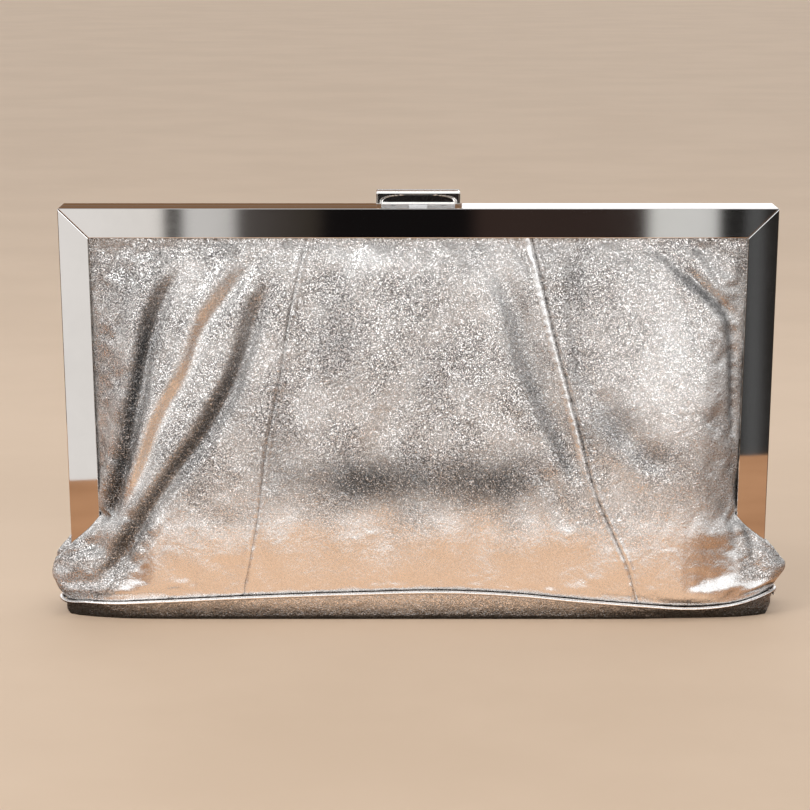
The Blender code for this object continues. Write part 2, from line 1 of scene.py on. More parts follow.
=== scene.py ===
"""Looks of the frame clutch purse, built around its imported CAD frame. Lengths are in metres."""
import json
import math

import bpy
import numpy as np
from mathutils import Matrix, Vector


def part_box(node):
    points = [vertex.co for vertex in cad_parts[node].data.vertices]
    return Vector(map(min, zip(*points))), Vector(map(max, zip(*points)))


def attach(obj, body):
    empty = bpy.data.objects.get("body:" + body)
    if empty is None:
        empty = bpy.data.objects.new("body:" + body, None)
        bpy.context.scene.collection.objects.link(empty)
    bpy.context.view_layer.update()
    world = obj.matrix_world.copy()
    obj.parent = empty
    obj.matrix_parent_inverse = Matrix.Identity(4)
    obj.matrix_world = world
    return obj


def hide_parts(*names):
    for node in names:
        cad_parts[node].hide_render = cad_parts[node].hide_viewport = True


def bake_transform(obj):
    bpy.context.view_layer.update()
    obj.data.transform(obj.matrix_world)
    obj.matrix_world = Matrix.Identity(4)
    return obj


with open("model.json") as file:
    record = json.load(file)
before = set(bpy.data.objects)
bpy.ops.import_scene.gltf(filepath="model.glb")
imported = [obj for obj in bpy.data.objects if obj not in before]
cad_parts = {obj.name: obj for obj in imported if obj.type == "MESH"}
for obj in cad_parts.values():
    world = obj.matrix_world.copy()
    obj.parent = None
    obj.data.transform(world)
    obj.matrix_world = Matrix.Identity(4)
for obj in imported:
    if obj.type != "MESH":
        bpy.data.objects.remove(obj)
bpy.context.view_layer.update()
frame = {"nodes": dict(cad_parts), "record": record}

MM = 0.001
scene = bpy.context.scene

# Heights: the hinge, the outer leather's two edges, the stretch over which the frame takes hold of
# the upper one, and the frame arms' visible ends
HINGE_HEIGHT = 0.0165
SHEET_LOW, SHEET_HIGH = 0.0045, 0.1480
CLAMP_LOW, CLAMP_HIGH = 0.1410, 0.1452
ARM_END = 0.036

# How far from the middle the rounded sides start
SIDE_START = 0.100

# Thicknesses of the outer leather, the two parts of a gusset and the lining
LEATHER, VALLEY_LEATHER, FOLD_LEATHER, CLOTH = 0.0010, 0.0008, 0.0007, 0.0004

# Folds: the valley's line as (x, z) in mm, then the valley's half-width and depth, the ridge's
# height, its distance to the line's left and its half-width, all in mm, and how much painted shade
# darkens the slope between them, or below zero how smooth it is drawn
FRONT_FOLDS = [
    ([(-87, 139), (-95.5, 122), (-101.5, 103), (-105.5, 84), (-110, 62), (-115.5, 42), (-119, 31)],
     2.8, 2.5, 2.0, 7.4, 4.2, 1.0),
    ([(-57, 143), (-71.5, 123.5), (-80.5, 111), (-86.5, 95.5), (-94, 81.5), (-100.5, 66.5),
      (-108, 48.5), (-113, 38)], 2.6, 1.9, 1.7, 7.0, 4.4, -0.75),
    ([(-53, 137), (-60, 117), (-64.5, 103), (-71, 87), (-79, 72.5), (-89, 59.5), (-98, 47),
      (-105, 36.5), (-111, 27.5), (-118, 18.5), (-128, 12)], 3.0, 2.8, 1.4, 7.8, 4.4, 0.92),
    ([(27, 143), (33, 127), (39, 112), (44.5, 94), (51, 80), (56, 66), (62, 50)],
     4.6, 1.4, 0.5, 10.0, 6.0, 0.55),
    ([(-35, 143), (-40, 120), (-43, 98), (-46, 75)], 4.5, 1.0, 0.0, 8.0, 5.0, 0.0),
    ([(-4, 144), (-7, 118), (-6, 90), (-14, 62)], 5.5, 0.7, 0.6, 12.0, 7.0, 0.0),
    ([(58, 142), (58.8, 122), (61, 100), (66, 84)], 3.4, 1.1, 0.5, 7.0, 4.5, 0.15),
    ([(84, 145), (93.5, 138), (102.5, 130.5), (111, 123.5), (116.8, 116.5), (118.6, 107), (119.2, 89),
      (120.2, 66)], 2.2, 1.5, 0.3, 5.2, 3.2, 0.65),
    ([(86, 144), (96, 126), (104, 108), (109, 95)], 1.4, 0.45, 0.2, 3.0, 2.0, 0.0),
    ([(97, 144), (104, 131), (111, 121)], 1.2, 0.45, 0.2, 2.6, 1.6, 0.0),
    ([(104, 144.5), (110, 134), (116, 124)], 1.2, 0.40, 0.15, 2.6, 1.6, 0.0),
    ([(76, 144), (80, 122), (88, 100), (93, 84)], 1.6, 0.30, 0.1, 3.2, 2.0, 0.0),
    ([(68, 90), (76, 76), (85, 65), (94, 57)], 5.0, 0.9, 0.5, 10.0, 6.0, 0.0),
    ([(48, 60), (53, 46), (58, 34)], 3.5, 0.6, 0.3, 7.0, 4.0, 0.0),
    ([(123.5, 47), (126, 36), (128, 28), (129, 21)], 1.8, 1.2, 0.2, 4.5, 3.0, 0.5),
    ([(-52, 92), (-55, 70), (-58, 48)], 3.0, 0.6, 0.4, 6.0, 4.0, 0.2),
    ([(-72, 141), (-84, 124), (-94, 100), (-101, 82)], 1.5, 0.35, 0.2, 3.0, 2.0, 0.15),
    ([(-106, 140), (-110, 122), (-114, 104)], 1.6, 0.6, 0.3, 3.2, 2.2, 0.3),
]
BACK_FOLDS = [
    ([(-88, 140), (-97, 122), (-106, 100), (-112, 76), (-115, 50)], 2.8, 2.0, 1.4, 7.0, 4.4, 0.7),
    ([(-60, 136), (-70, 112), (-84, 86), (-98, 62), (-110, 38)], 2.6, 1.8, 1.3, 6.5, 4.4, 0.4),
    ([(-108, 46), (-114, 28), (-122, 17), (-132, 11)], 2.8, 2.2, 0.9, 6.5, 4.5, 0.8),
    ([(30, 142), (36, 116), (46, 88), (56, 60)], 5.0, 1.1, 0.5, 10.0, 6.0, 0.2),
    ([(-10, 143), (-14, 112), (-10, 84), (-16, 56)], 5.5, 0.8, 0.6, 12.0, 7.0, 0.15),
    ([(60, 141), (66, 118), (80, 92), (96, 66), (110, 40)], 3.0, 1.8, 0.9, 7.5, 4.6, 0.5),
    ([(92, 138), (104, 118), (112, 96), (116, 70)], 2.8, 1.5, 0.5, 6.5, 4.2, 0.4),
    ([(112, 48), (117, 28), (124, 17), (133, 11)], 2.4, 1.9, 0.8, 6.0, 4.2, 0.6),
    ([(84, 144), (96, 124), (106, 106)], 1.3, 0.35, 0.1, 3.0, 2.0, 0.0),
]
# Bulges: centre and reach along x and z, and height, in mm
FRONT_BULGES = [
    (100, 88, 20, 34, 1.7), (78, 128, 12, 16, 0.6), (14, 128, 12, 14, 0.7),
    (-20, 100, 14, 26, 0.7), (22, 76, 15, 26, 0.8), (-52, 118, 8, 16, 0.5),
]
BACK_BULGES = [(92, 92, 20, 30, 1.2), (0, 110, 24, 22, 0.9), (-78, 46, 20, 18, 0.9)]
# Dark blotches on the foil: centre and reach along x and z, in mm, and strength
FRONT_DARK_BLOTCHES = [
    (-18, 54, 28, 10, 0.95), (28, 54, 20, 10, 0.85), (74, 76, 12, 9, 0.75), (89, 64, 11, 6, 0.60),
    (-30, 106, 9, 20, 0.28), (36, 112, 5, 16, 0.40), (44, 92, 5, 14, 0.40), (-88, 58, 9, 12, 0.35),
    (-70, 84, 9, 14, 0.25), (5, 92, 12, 14, 0.22), (60, 128, 4, 14, 0.35), (-52, 70, 8, 16, 0.28),
    (-112, 128, 8, 12, 0.20),
]
BACK_DARK_BLOTCHES = [
    (-30, 66, 30, 14, 0.35), (40, 96, 20, 20, 0.28), (86, 60, 14, 12, 0.35), (-84, 96, 12, 20, 0.25),
]
# Spots where the leather is pulled smooth, on both faces: the same five values
SMOOTH_SPOTS = [
    (98, 92, 26, 34, 0.45), (30, 124, 8, 16, 0.40), (-20, 138, 16, 5, 0.40), (-84, 128, 8, 8, 0.3),
]
# The fold that the crumpled left corner hangs from, going down, as (x, z) in mm
CORNER_TUCK = [(-92, 52), (-105, 36.5), (-111, 27.5), (-118, 18.5), (-128, 12), (-138, 7)]
# Small wrinkles: height and size along x and z, in mm, and how much of them shows high on the
# pouch, where the leather is loose, and low on it, where it is taut
WRINKLES = [(0.16, 3.2, 22, 0.0, 1.0), (0.20, 10, 16, 1.0, 0.4), (0.12, 4.5, 6.5, 1.0, 0.25)]
# Left and right seam: heights, and its x at each, in mm
FRONT_SEAMS = (
    ([8, 40, 66.8, 90.5, 117.2, 145.5], [-66.0, -60.7, -57.2, -52.6, -48.4, -42.0]),
    ([6, 21.4, 32.4, 45.7, 76.2, 106.3, 145.5], [82.6, 78.8, 74.2, 68.3, 60.0, 52.0, 42.8]),
)
BACK_SEAMS = (([6, 145], [-71, -41.5]), ([6, 145], [71, 41.5]))


# Curves and grids

def curve(xs, ys, v):
    """A smooth line through points, flat beyond its ends."""
    xs, ys = np.asarray(xs, float), np.asarray(ys, float)
    slope = np.gradient(ys, xs, axis=0)
    v = np.clip(np.asarray(v, float), xs[0], xs[-1])
    i = np.clip(np.searchsorted(xs, v) - 1, 0, len(xs) - 2)
    h = xs[i + 1] - xs[i]
    t = (v - xs[i]) / h
    if ys.ndim > 1:
        h, t = h[..., None], t[..., None]
    return (
        ys[i] * (1 + 2 * t) * (1 - t) ** 2 + h * slope[i] * t * (1 - t) ** 2
        + ys[i + 1] * t * t * (3 - 2 * t) + h * slope[i + 1] * t * t * (t - 1)
    )


def rise(a, b, v):
    """A smooth step from 0 at a to 1 at b."""
    t = np.clip((np.asarray(v, float) - a) / (b - a), 0, 1)
    return t * t * (3 - 2 * t)


def noise(u, v, size_u, size_v, seed):
    """Smooth noise of -1 to 1 with features of about that size."""
    table = np.random.RandomState(seed).uniform(-1, 1, (97, 97))
    a, b = u / size_u + 40.0, v / size_v + 40.0
    i, j = np.floor(a).astype(int), np.floor(b).astype(int)
    s, t = a - i, b - j
    s, t = s * s * (3 - 2 * s), t * t * (3 - 2 * t)
    low = table[i % 97, j % 97] * (1 - s) + table[(i + 1) % 97, j % 97] * s
    high = table[i % 97, (j + 1) % 97] * (1 - s) + table[(i + 1) % 97, (j + 1) % 97] * s
    return low * (1 - t) + high * t


def refine(grid, factor, axis):
    """Puts factor - 1 new rows between the rows of a grid, on a smooth curve."""
    v = np.moveaxis(grid, axis, 0)
    p = np.concatenate([2 * v[:1] - v[1:2], v, 2 * v[-1:] - v[-2:-1]])
    steps = []
    for k in range(factor):
        t = k / factor
        a, b, c, d = (-t + 2 * t**2 - t**3, 2 - 5 * t**2 + 3 * t**3,
                      t + 4 * t**2 - 3 * t**3, -t**2 + t**3)
        steps.append((a * p[:-3] + b * p[1:-2] + c * p[2:-1] + d * p[3:]) / 2)
    fine = np.stack(steps, 1).reshape(-1, *v.shape[1:])
    return np.moveaxis(np.concatenate([fine, v[-1:]]), 0, axis)


def normals(grid):
    """Unit vectors across the grid, towards its outer face."""
    along, up = np.gradient(grid, axis=1), np.gradient(grid, axis=0)
    n = np.cross(along, up)
    return n / np.maximum(np.linalg.norm(n, axis=2, keepdims=True), 1e-12)


# Meshes

def new_mesh(name, points, faces, attributes=()):
    """A smooth-shaded object. Its points are kept as "rest", which the materials read."""
    mesh = bpy.data.meshes.new(name)
    mesh.from_pydata(np.asarray(points).tolist(), [], faces)
    mesh.polygons.foreach_set("use_smooth", [True] * len(mesh.polygons))
    stored = mesh.attributes.new("rest", "FLOAT_VECTOR", "POINT")
    stored.data.foreach_set("vector", np.asarray(points, np.float32).reshape(-1))
    for key, values in attributes:
        stored = mesh.attributes.new(key, "FLOAT", "POINT")
        stored.data.foreach_set("value", np.asarray(values, np.float32).reshape(-1))
    mesh.update()
    obj = bpy.data.objects.new(name, mesh)
    scene.collection.objects.link(obj)
    return obj


def grid_faces(rows, columns, start=0, flip=False):
    faces = []
    for r in range(rows - 1):
        for c in range(columns - 1):
            a = start + r * columns + c
            quad = (a, a + 1, a + 1 + columns, a + columns)
            faces.append(quad[::-1] if flip else quad)
    return faces


def shell_faces(rows, columns):
    """Faces of a closed thin body whose outer and inner side are grids of the same size."""
    count = rows * columns
    faces = grid_faces(rows, columns) + grid_faces(rows, columns, count, True)
    rim = list(range(columns))
    rim += [r * columns + columns - 1 for r in range(1, rows)]
    rim += [(rows - 1) * columns + c for c in range(columns - 2, -1, -1)]
    rim += [r * columns for r in range(rows - 2, 0, -1)]
    for a, b in zip(rim, rim[1:] + rim[:1]):
        faces.append((b, a, a + count, b + count))
    return faces


def sheet(name, grid, thickness, attributes=()):
    """A closed thin body whose outer side is the grid."""
    inner = grid - normals(grid) * thickness
    points = np.concatenate([grid.reshape(-1, 3), inner.reshape(-1, 3)])
    doubled = [(key, np.concatenate([v.reshape(-1)] * 2)) for key, v in attributes]
    return new_mesh(name, points, shell_faces(*grid.shape[:2]), doubled)


def across_loop(path):
    """Level unit vectors pointing out of a closed loop of points."""
    ahead = np.roll(path, -1, 0) - np.roll(path, 1, 0)
    out = np.stack([ahead[:, 1], -ahead[:, 0], np.zeros(len(path))], 1)
    return out / np.linalg.norm(out, axis=1, keepdims=True)


def tube(name, path, radius_out, radius_up, sides, crinkle):
    """A closed loop of piping: path is (n, 3), and each ring stands across it."""
    out, up = across_loop(path), np.array([0.0, 0.0, 1.0])
    angles = np.arange(sides) * 2 * math.pi / sides
    rings = (path[:, None] + out[:, None] * (radius_out * np.cos(angles))[None, :, None]
             + up * (radius_up * np.sin(angles))[None, :, None])
    n, faces = len(path), []
    for i in range(n):
        j = (i + 1) % n
        for k in range(sides):
            m = (k + 1) % sides
            faces.append((i * sides + k, i * sides + m, j * sides + m, j * sides + k))
    return new_mesh(name, rings.reshape(-1, 3), faces, [("crinkle", np.full(n * sides, crinkle))])


# Outer leather: cross-sections of the pouch at several heights, from its middle to its edge

SECTIONS = [
    # height, depth at the middle and at SIDE_START, then x and depth of six points further out,
    # all in mm
    (4.5, 23.2, 22.9, 112, 22, 121.5, 19.6, 130, 16.4, 135.3, 11.6, 136, 8, 134.6, 5),
    (10, 24.8, 24.4, 110.5, 22.9, 118.5, 20.45, 129.3, 17, 138.4, 12.2, 139.4, 7.8, 135.2, 4.6),
    (14.5, 25.2, 24.7, 110, 23, 118.3, 20.4, 129, 16.9, 138.8, 12.6, 141, 8.2, 135.4, 4.4),
    (19, 25.3, 24.7, 109.8, 23, 117.8, 20.2, 127.8, 16.4, 136, 12.8, 139.2, 9, 135.2, 4.8),
    (21.5, 25.3, 24.7, 109.7, 23, 117.5, 20.1, 126.5, 16.1, 133.9, 13, 137.2, 9.8, 135, 6),
    (23.5, 25.3, 24.65, 109.6, 22.95, 117.3, 20, 125.3, 15.85, 132, 13.4, 135.6, 11.1, 134.9, 8.6),
    (25.5, 25.2, 24.6, 109.6, 22.95, 117.1, 19.85, 124.3, 15.65, 130.1, 13.6, 133.3, 12.3, 133.9, 11.5),
    (27.5, 25.15, 24.5, 109.6, 22.9, 117, 19.7, 123.5, 15.45, 128.4, 13.4, 131.1, 12.3, 131.7, 11.4),
    (34, 24.9, 24.4, 110, 22.9, 117, 19.4, 121, 15.3, 123.8, 12.8, 124.9, 12, 125.1, 11.3),
    (37, 24.75, 24.2, 109.5, 22.7, 116.4, 19, 119.1, 14.9, 121.7, 12.4, 122.5, 11.8, 122.7, 11.2),
    (39, 24.6, 24, 109.3, 22.5, 116, 18.8, 119, 14.8, 120.6, 11.7, 121.1, 10.7, 121.5, 9.8),
    (40.8, 24.45, 23.9, 109.2, 22.3, 115.8, 18.8, 119.2, 14.6, 120.9, 10.8, 121.8, 9.3, 123.9, 8.8),
    (60, 22.8, 22.3, 109, 21, 116, 17.8, 119.9, 13.4, 121.7, 10.2, 122.4, 9.1, 124.4, 8.8),
    (80, 20.2, 19.9, 109.5, 19, 116.5, 16.4, 120.4, 12.3, 122.2, 9.9, 122.9, 9.05, 124.9, 8.8),
    (100, 17.1, 16.9, 110, 16.4, 117, 14.5, 120.9, 11.2, 122.7, 9.5, 123.4, 8.95, 125.4, 8.75),
    (120, 13.9, 13.7, 110, 13.3, 117, 12.1, 121, 10.2, 123, 9.25, 123.9, 8.9, 125.9, 8.7),
    (135, 11.3, 11.1, 109, 10.8, 116, 10.1, 120.6, 9.5, 123, 9.05, 124.2, 8.85, 126.2, 8.7),
    (144.8, 9.1, 9.1, 108, 9.05, 115, 9, 120, 8.95, 123, 8.9, 124.5, 8.8, 126.5, 8.7),
    (148, 8.8, 8.8, 108, 8.8, 115, 8.8, 120, 8.8, 123, 8.75, 124.6, 8.75, 126.6, 8.7),
]
SECTION_HEIGHTS = np.array([s[0] for s in SECTIONS]) * MM
MIDDLE_DEPTHS = np.array([s[1] for s in SECTIONS]) * MM
SIDE_POINTS = np.array([(SIDE_START / MM, *s[2:]) for s in SECTIONS]) * MM
SIDE_POINTS = SIDE_POINTS.reshape(len(SECTIONS), -1, 2)

# The pouch's lower edge along the front: x, and its height there
HEM_X = [-0.1402, -0.1369, -0.1259, -0.1019, -0.0654, -0.0259, 0.0129, 0.0387, 0.0615, 0.0824,
         0.1053, 0.1224, 0.1344, 0.1400]
HEM_Z = [0.0112, 0.0076, 0.0068, 0.0078, 0.0096, 0.0110, 0.0117, 0.0104, 0.0082, 0.0065,
         0.0049, 0.0065, 0.0098, 0.0116]


def middle_depth(x, z):
    """Depth of the outer leather between the two sides, at a point |x| <= SIDE_START."""
    centre = curve(SECTION_HEIGHTS, MIDDLE_DEPTHS, z)
    at_side = curve(SECTION_HEIGHTS, SIDE_POINTS[:, 0, 1], z)
    return centre - (centre - at_side) * np.abs(x / SIDE_START) ** 4


def side_line(z, count):
    """count + 1 points (x, depth) along the side's cross-section at height z."""
    key = curve(SECTION_HEIGHTS, SIDE_POINTS.reshape(len(SECTIONS), -1), np.array([z]))[0]
    key = key.reshape(-1, 2)
    length = np.concatenate([[0], np.cumsum(np.linalg.norm(np.diff(key, axis=0), axis=1))])
    dense = curve(length, key, np.linspace(0, length[-1], 160))
    along = np.concatenate([[0], np.cumsum(np.linalg.norm(np.diff(dense, axis=0), axis=1))])
    at = np.linspace(0, along[-1], count + 1)
    return np.stack([np.interp(at, along, dense[:, k]) for k in (0, 1)], 1)


SIDE_COLUMNS, LEFT_COLUMNS, CENTER_COLUMNS, RIGHT_COLUMNS = 36, 60, 120, 54
ROWS_ABOVE_TUCK = 177
LEFT_SEAM = SIDE_COLUMNS + LEFT_COLUMNS
RIGHT_SEAM = LEFT_SEAM + CENTER_COLUMNS


def base_sheet(seams):
    """The smooth pouch seen from the front, as a grid of rows going up. Its columns stand
    closer beside a seam."""
    low = np.array([0, 0.5, 1.1, 1.8]) * MM + SHEET_LOW
    heights = np.concatenate([low, np.linspace(low[-1] + 0.0007, SHEET_HIGH, ROWS_ABOVE_TUCK)])
    rows = []
    tight = 0.78
    for z in heights:
        left, right = (curve(np.array(s[0]) * MM, np.array(s[1]) * MM, z) for s in seams)
        side = side_line(z, SIDE_COLUMNS)
        t = np.linspace(0, 1, LEFT_COLUMNS + 1)[1:]
        left_x = -SIDE_START + (left + SIDE_START) * (t + tight * np.sin(math.pi * t) / math.pi)
        t = np.linspace(0, 1, CENTER_COLUMNS + 1)[1:]
        center_x = left + (right - left) * (t - tight * np.sin(2 * math.pi * t) / (2 * math.pi))
        t = np.linspace(0, 1, RIGHT_COLUMNS + 1)[1:]
        right_x = right + (SIDE_START - right) * (t - tight * np.sin(math.pi * t) / math.pi)
        x = np.concatenate([-side[::-1, 0], left_x, center_x, right_x, side[1:, 0]])
        middle = np.concatenate([left_x, center_x, right_x])
        depth = np.concatenate([side[::-1, 1], middle_depth(middle, z), side[1:, 1]])
        rows.append(np.stack([x, -depth, np.full_like(x, z)], 1))
    return np.array(rows)


def hem_of(grid):
    """Height of the hem under each column."""
    x = grid[0, :, 0]
    reach = x.copy()
    half = len(x) // 2
    reach[half:] = np.maximum.accumulate(x[half:])
    reach[:half] = np.minimum.accumulate(x[:half][::-1])[::-1]
    return curve(HEM_X, HEM_Z, reach)


def follow_hem(grid):
    """Lifts the lower rows to the hem's height, and turns the lowest in over the piping."""
    z = grid[..., 2]
    share = 1 - rise(SHEET_LOW, 0.042, z)
    grid[..., 2] = z + (hem_of(grid)[None] - SHEET_LOW) * share
    tuck = 1.5 * MM * (1 - rise(SHEET_LOW, SHEET_LOW + 0.0020, z))
    n = normals(grid)
    n[..., 2] = 0
    return grid - n * tuck[..., None]


def relax(grid, held, pressure, slack, limit, frames=20):
    """Lets the leather settle as cloth over its padding. No point moves further than limit."""
    rows, columns = grid.shape[:2]
    obj = new_mesh("settling", grid.reshape(-1, 3), grid_faces(rows, columns))
    group = obj.vertex_groups.new(name="held")
    group.add(np.flatnonzero(held).tolist(), 1.0, "REPLACE")
    cloth = obj.modifiers.new("settle", "CLOTH")
    settings = cloth.settings
    settings.quality = 6
    settings.mass = 0.2
    settings.tension_stiffness = 12
    settings.compression_stiffness = 8
    settings.shear_stiffness = 5
    settings.bending_stiffness = 0.6
    settings.use_pressure = True
    settings.uniform_pressure_force = pressure
    settings.shrink_min = -slack
    settings.vertex_group_mass = "held"
    settings.effector_weights.gravity = 0
    cloth.collision_settings.use_collision = False
    cloth.point_cache.frame_start, cloth.point_cache.frame_end = 1, frames
    for number in range(1, frames + 1):
        scene.frame_set(number)
    settled = obj.evaluated_get(bpy.context.evaluated_depsgraph_get()).to_mesh()
    points = np.zeros(rows * columns * 3)
    settled.vertices.foreach_get("co", points)
    obj.modifiers.remove(cloth)
    bpy.data.objects.remove(obj)
    scene.frame_set(1)
    move = points.reshape(rows, columns, 3) - grid
    size = np.linalg.norm(move, axis=2, keepdims=True)
    return move * np.where(size > 0, limit * np.tanh(size / limit) / np.maximum(size, 1e-9), 0)


def settle(grid, seed):
    """Settles every third row and column, and carries the result to the whole grid."""
    step = 3
    start = grid[::step, ::step]
    x, z = start[..., 0], start[..., 2]
    uneven = 0.25 * MM * noise(x, z, 0.012, 0.030, seed)
    coarse = start + normals(start) * uneven[..., None]
    held = np.zeros(coarse.shape[:2])
    held[:2] = held[-3:] = held[:, :3] = held[:, -3:] = 1
    moved = coarse + relax(coarse, held, pressure=2.0, slack=0.010, limit=1.1 * MM) - start
    moved *= (1 - held)[..., None]
    return refine(refine(moved, step, 0), step, 1)


def line_distance(x, z, points):
    """Signed distance to a line through points, positive to its right as it goes down, and
    the share of the way along it."""
    points = np.array(points, float) * MM
    dense_at = np.linspace(0, len(points) - 1, (len(points) - 1) * 6 + 1)
    dense = curve(np.arange(len(points)), points, dense_at)
    best = np.full(x.shape, 1e9)
    signed, share = np.zeros(x.shape), np.zeros(x.shape)
    steps = np.linalg.norm(np.diff(dense, axis=0), axis=1)
    total, done = steps.sum(), 0.0
    for (ax, az), (bx, bz), length in zip(dense[:-1], dense[1:], steps):
        ux, uz = (bx - ax) / length, (bz - az) / length
        along = (x - ax) * ux + (z - az) * uz
        t = np.clip(along, 0, length)
        distance = np.hypot(x - ax - ux * t, z - az - uz * t)
        closer = distance < best
        side = np.sign((x - ax) * -uz + (z - az) * ux)
        best = np.where(closer, distance, best)
        signed = np.where(closer, distance * side, signed)
        share = np.where(closer, (done + t) / total, share)
        done += length
    return signed, share


def fold_depths(x, z, folds, bulges):
    """How far the folds move the leather out, how much painted shade darkens their slopes, and how
    smooth the slopes are.
    """
    total, shade_and_blotches, smooth = (np.zeros(x.shape) for _ in range(3))
    for points, width, depth, lift, off, lift_width, dark in folds:
        s, share = line_distance(x, z, points)
        s, wander = s / MM, noise(x, z, 0.016, 0.020, len(points) * 7 + int(depth * 10))
        s = s + wander * width * 0.25
        taper = rise(0, 0.18, share) * (1 - rise(0.84, 1, share))
        valley = -depth * np.exp(-(s / width) ** 2)
        narrowed = 1 - 0.4 * share
        ridge = lift * np.exp(-((s + off * narrowed) / (lift_width * narrowed)) ** 2)
        total += (valley + ridge) * taper * MM
        # Painted shade on the slope between ridge and valley, where the fold turns away from the light;
        # a negative dark value smooths the slope instead
        spread = 0.48 * off * narrowed * (0.35 + 0.65 * taper) * (1 + 0.3 * wander)
        darkening = np.exp(-(np.abs(s + 0.38 * off * narrowed) / spread) ** 2.6)
        darkening *= rise(0, 0.35, share) * (1 - rise(0.88, 1, share))
        shade_and_blotches, smooth = np.maximum(shade_and_blotches, dark * darkening), np.maximum(smooth, -dark * darkening)
    for bx, bz, rx, rz, height in bulges:
        total += height * MM * np.exp(-((x / MM - bx) / rx) ** 2 - ((z / MM - bz) / rz) ** 2)
    return total, shade_and_blotches, smooth


def blotches(x, z, spots):
    """Soft uneven spots, added up to at most 1."""
    total = np.zeros(x.shape)
    for cx, cz, rx, rz, strength in spots:
        reach = ((x / MM - cx) / rx) ** 2 + ((z / MM - cz) / rz) ** 2
        uneven = 1 + 0.35 * noise(x, z, 0.007, 0.008, int(abs(cx)) + 3)
        total += strength * np.exp(-reach * uneven)
    return np.clip(total, 0, 1)


def seam_distance(grid, column):
    """Distance of each point to a seam's column along the leather, in mm, positive to its right."""
    across = np.cumsum(np.linalg.norm(np.diff(grid, axis=1), axis=2), axis=1)
    across = np.concatenate([np.zeros((len(grid), 1)), across], 1)
    return (across - across[:, column:column + 1]) / MM


def seam_depths(grid, d):
    """How far a seam moves the leather out: a groove between two rolls that pucker."""
    x, z = grid[..., 0], grid[..., 2]
    pucker = np.sin(z / MM * 2 * math.pi / 3.4 + 2.5 * noise(x, z, 0.01, 0.012, 5))
    return MM * (
        -0.50 * np.exp(-(np.abs(d) / 0.38) ** 1.6)
        + 0.30 * np.exp(-((d + 1.5) / 1.0) ** 2) + 0.34 * np.exp(-((d - 1.3) / 0.8) ** 2)
        + 0.10 * pucker * np.exp(-np.abs(d) / 3.0)
    )


def make_leather(seams, folds, bulges, darkening, seed):
    """One face's outer leather as a grid, how crinkled it is at each point, and how much painted fold
    shade and dark blotches darken it there.
    """
    grid = follow_hem(base_sheet(seams))
    grid = grid + settle(grid, seed)
    x, y, z = grid[..., 0], grid[..., 1], grid[..., 2]
    above_hem = z - hem_of(grid)[None]
    free = rise(0, 0.0080, above_hem) * (1 - rise(CLAMP_LOW, CLAMP_HIGH, z))
    columns = np.arange(grid.shape[1])
    edge = np.minimum(columns, columns[::-1])[None] * MM
    free = free * np.where(z > ARM_END, rise(0.002, 0.005, edge), rise(0.0, 0.004, edge))
    move, shade_and_blotches, smooth = fold_depths(x, z, folds, bulges)
    move *= free
    left, right = seam_distance(grid, LEFT_SEAM), seam_distance(grid, RIGHT_SEAM)
    left_strength, right_strength = 0.7, 1.0
    for distance, strength in ((left, left_strength), (right, right_strength)):
        move += strength * seam_depths(grid, distance) * rise(0, 0.0008, above_hem)
    # The right seam is pressed to one side, so a smooth welt runs along its left
    welt_place, welt_reach, welt_height = -2.0, 1.25, 0.35 * MM
    welt = np.exp(-((right - welt_place) / welt_reach) ** 4) * rise(0.050, 0.070, z)
    move += welt_height * welt
    tension = 1 - rise(0.012, 0.050, z)
    for k, (height, size_x, size_z, loose, taut) in enumerate(WRINKLES, 1):
        share = loose + (taut - loose) * tension
        move += free * share * height * MM * noise(x, z, size_x * MM, size_z * MM, seed + k)
    # The lower corners crumple: on the left round the tuck and past it, on the right beside the arm
    past_tuck = line_distance(x, z, CORNER_TUCK)[0]
    corner = (1 - rise(6.0 * MM, 9.5 * MM, past_tuck)) * (1 - rise(ARM_END, 0.046, z))
    ear = rise(0.119, 0.124, x) * rise(0.0125, 0.0155, z) * (1 - rise(ARM_END, 0.044, z))
    corner = np.maximum(corner, ear)
    crumple = noise(x + y, z, 0.0050, 0.0045, seed + 4)
    crumple = crumple + 0.5 * noise(x - y, z, 0.0026, 0.0024, seed + 5)
    move += free * corner * 0.75 * MM * crumple
    grid = grid + normals(grid) * move[..., None]
    # The foil is smooth low down and crackled over it
    rough = rise(0.020, 0.054, z + 0.005 * noise(x, z, 0.012, 0.01, seed + 6))
    smooth = np.maximum(smooth, np.maximum(0.75 * welt, blotches(x, z, SMOOTH_SPOTS)))
    crinkle = np.maximum(0.16 + 0.84 * rough, corner) * (1 - smooth)
    # Dark blotches join the painted shade of the folds in one mask
    shade_and_blotches = np.maximum(shade_and_blotches, blotches(x, z, darkening) * rough * (1 - smooth))
    return grid, crinkle, shade_and_blotches


# Materials

def node_tree(name):
    """A new material, its node tree and its shader."""
    material = bpy.data.materials.new(name)
    material.use_nodes = True
    tree = material.node_tree
    return material, tree, tree.nodes["Principled BSDF"]


def add_node(tree, kind, values=(), links=(), **settings):
    """A node with its settings, the values of its sockets and the outputs that feed them."""
    made = tree.nodes.new(kind)
    for key, value in settings.items():
        setattr(made, key, value)
    for key, value in dict(values).items():
        made.inputs[key].default_value = value
    for key, source in dict(links).items():
        tree.links.new(source, made.inputs[key])
    return made


def ramp_node(tree, source, stops, smooth=True):
    made = tree.nodes.new("ShaderNodeValToRGB")
    made.color_ramp.interpolation = "EASE" if smooth else "LINEAR"
    elements = made.color_ramp.elements
    while len(elements) < len(stops):
        elements.new(0.5)
    for element, (at, colour) in zip(elements, stops):
        element.position = at
        value = (colour,) * 3 if isinstance(colour, (int, float)) else colour
        element.color = (*value, 1)
    tree.links.new(source, made.inputs["Fac"])
    return made.outputs["Color"]


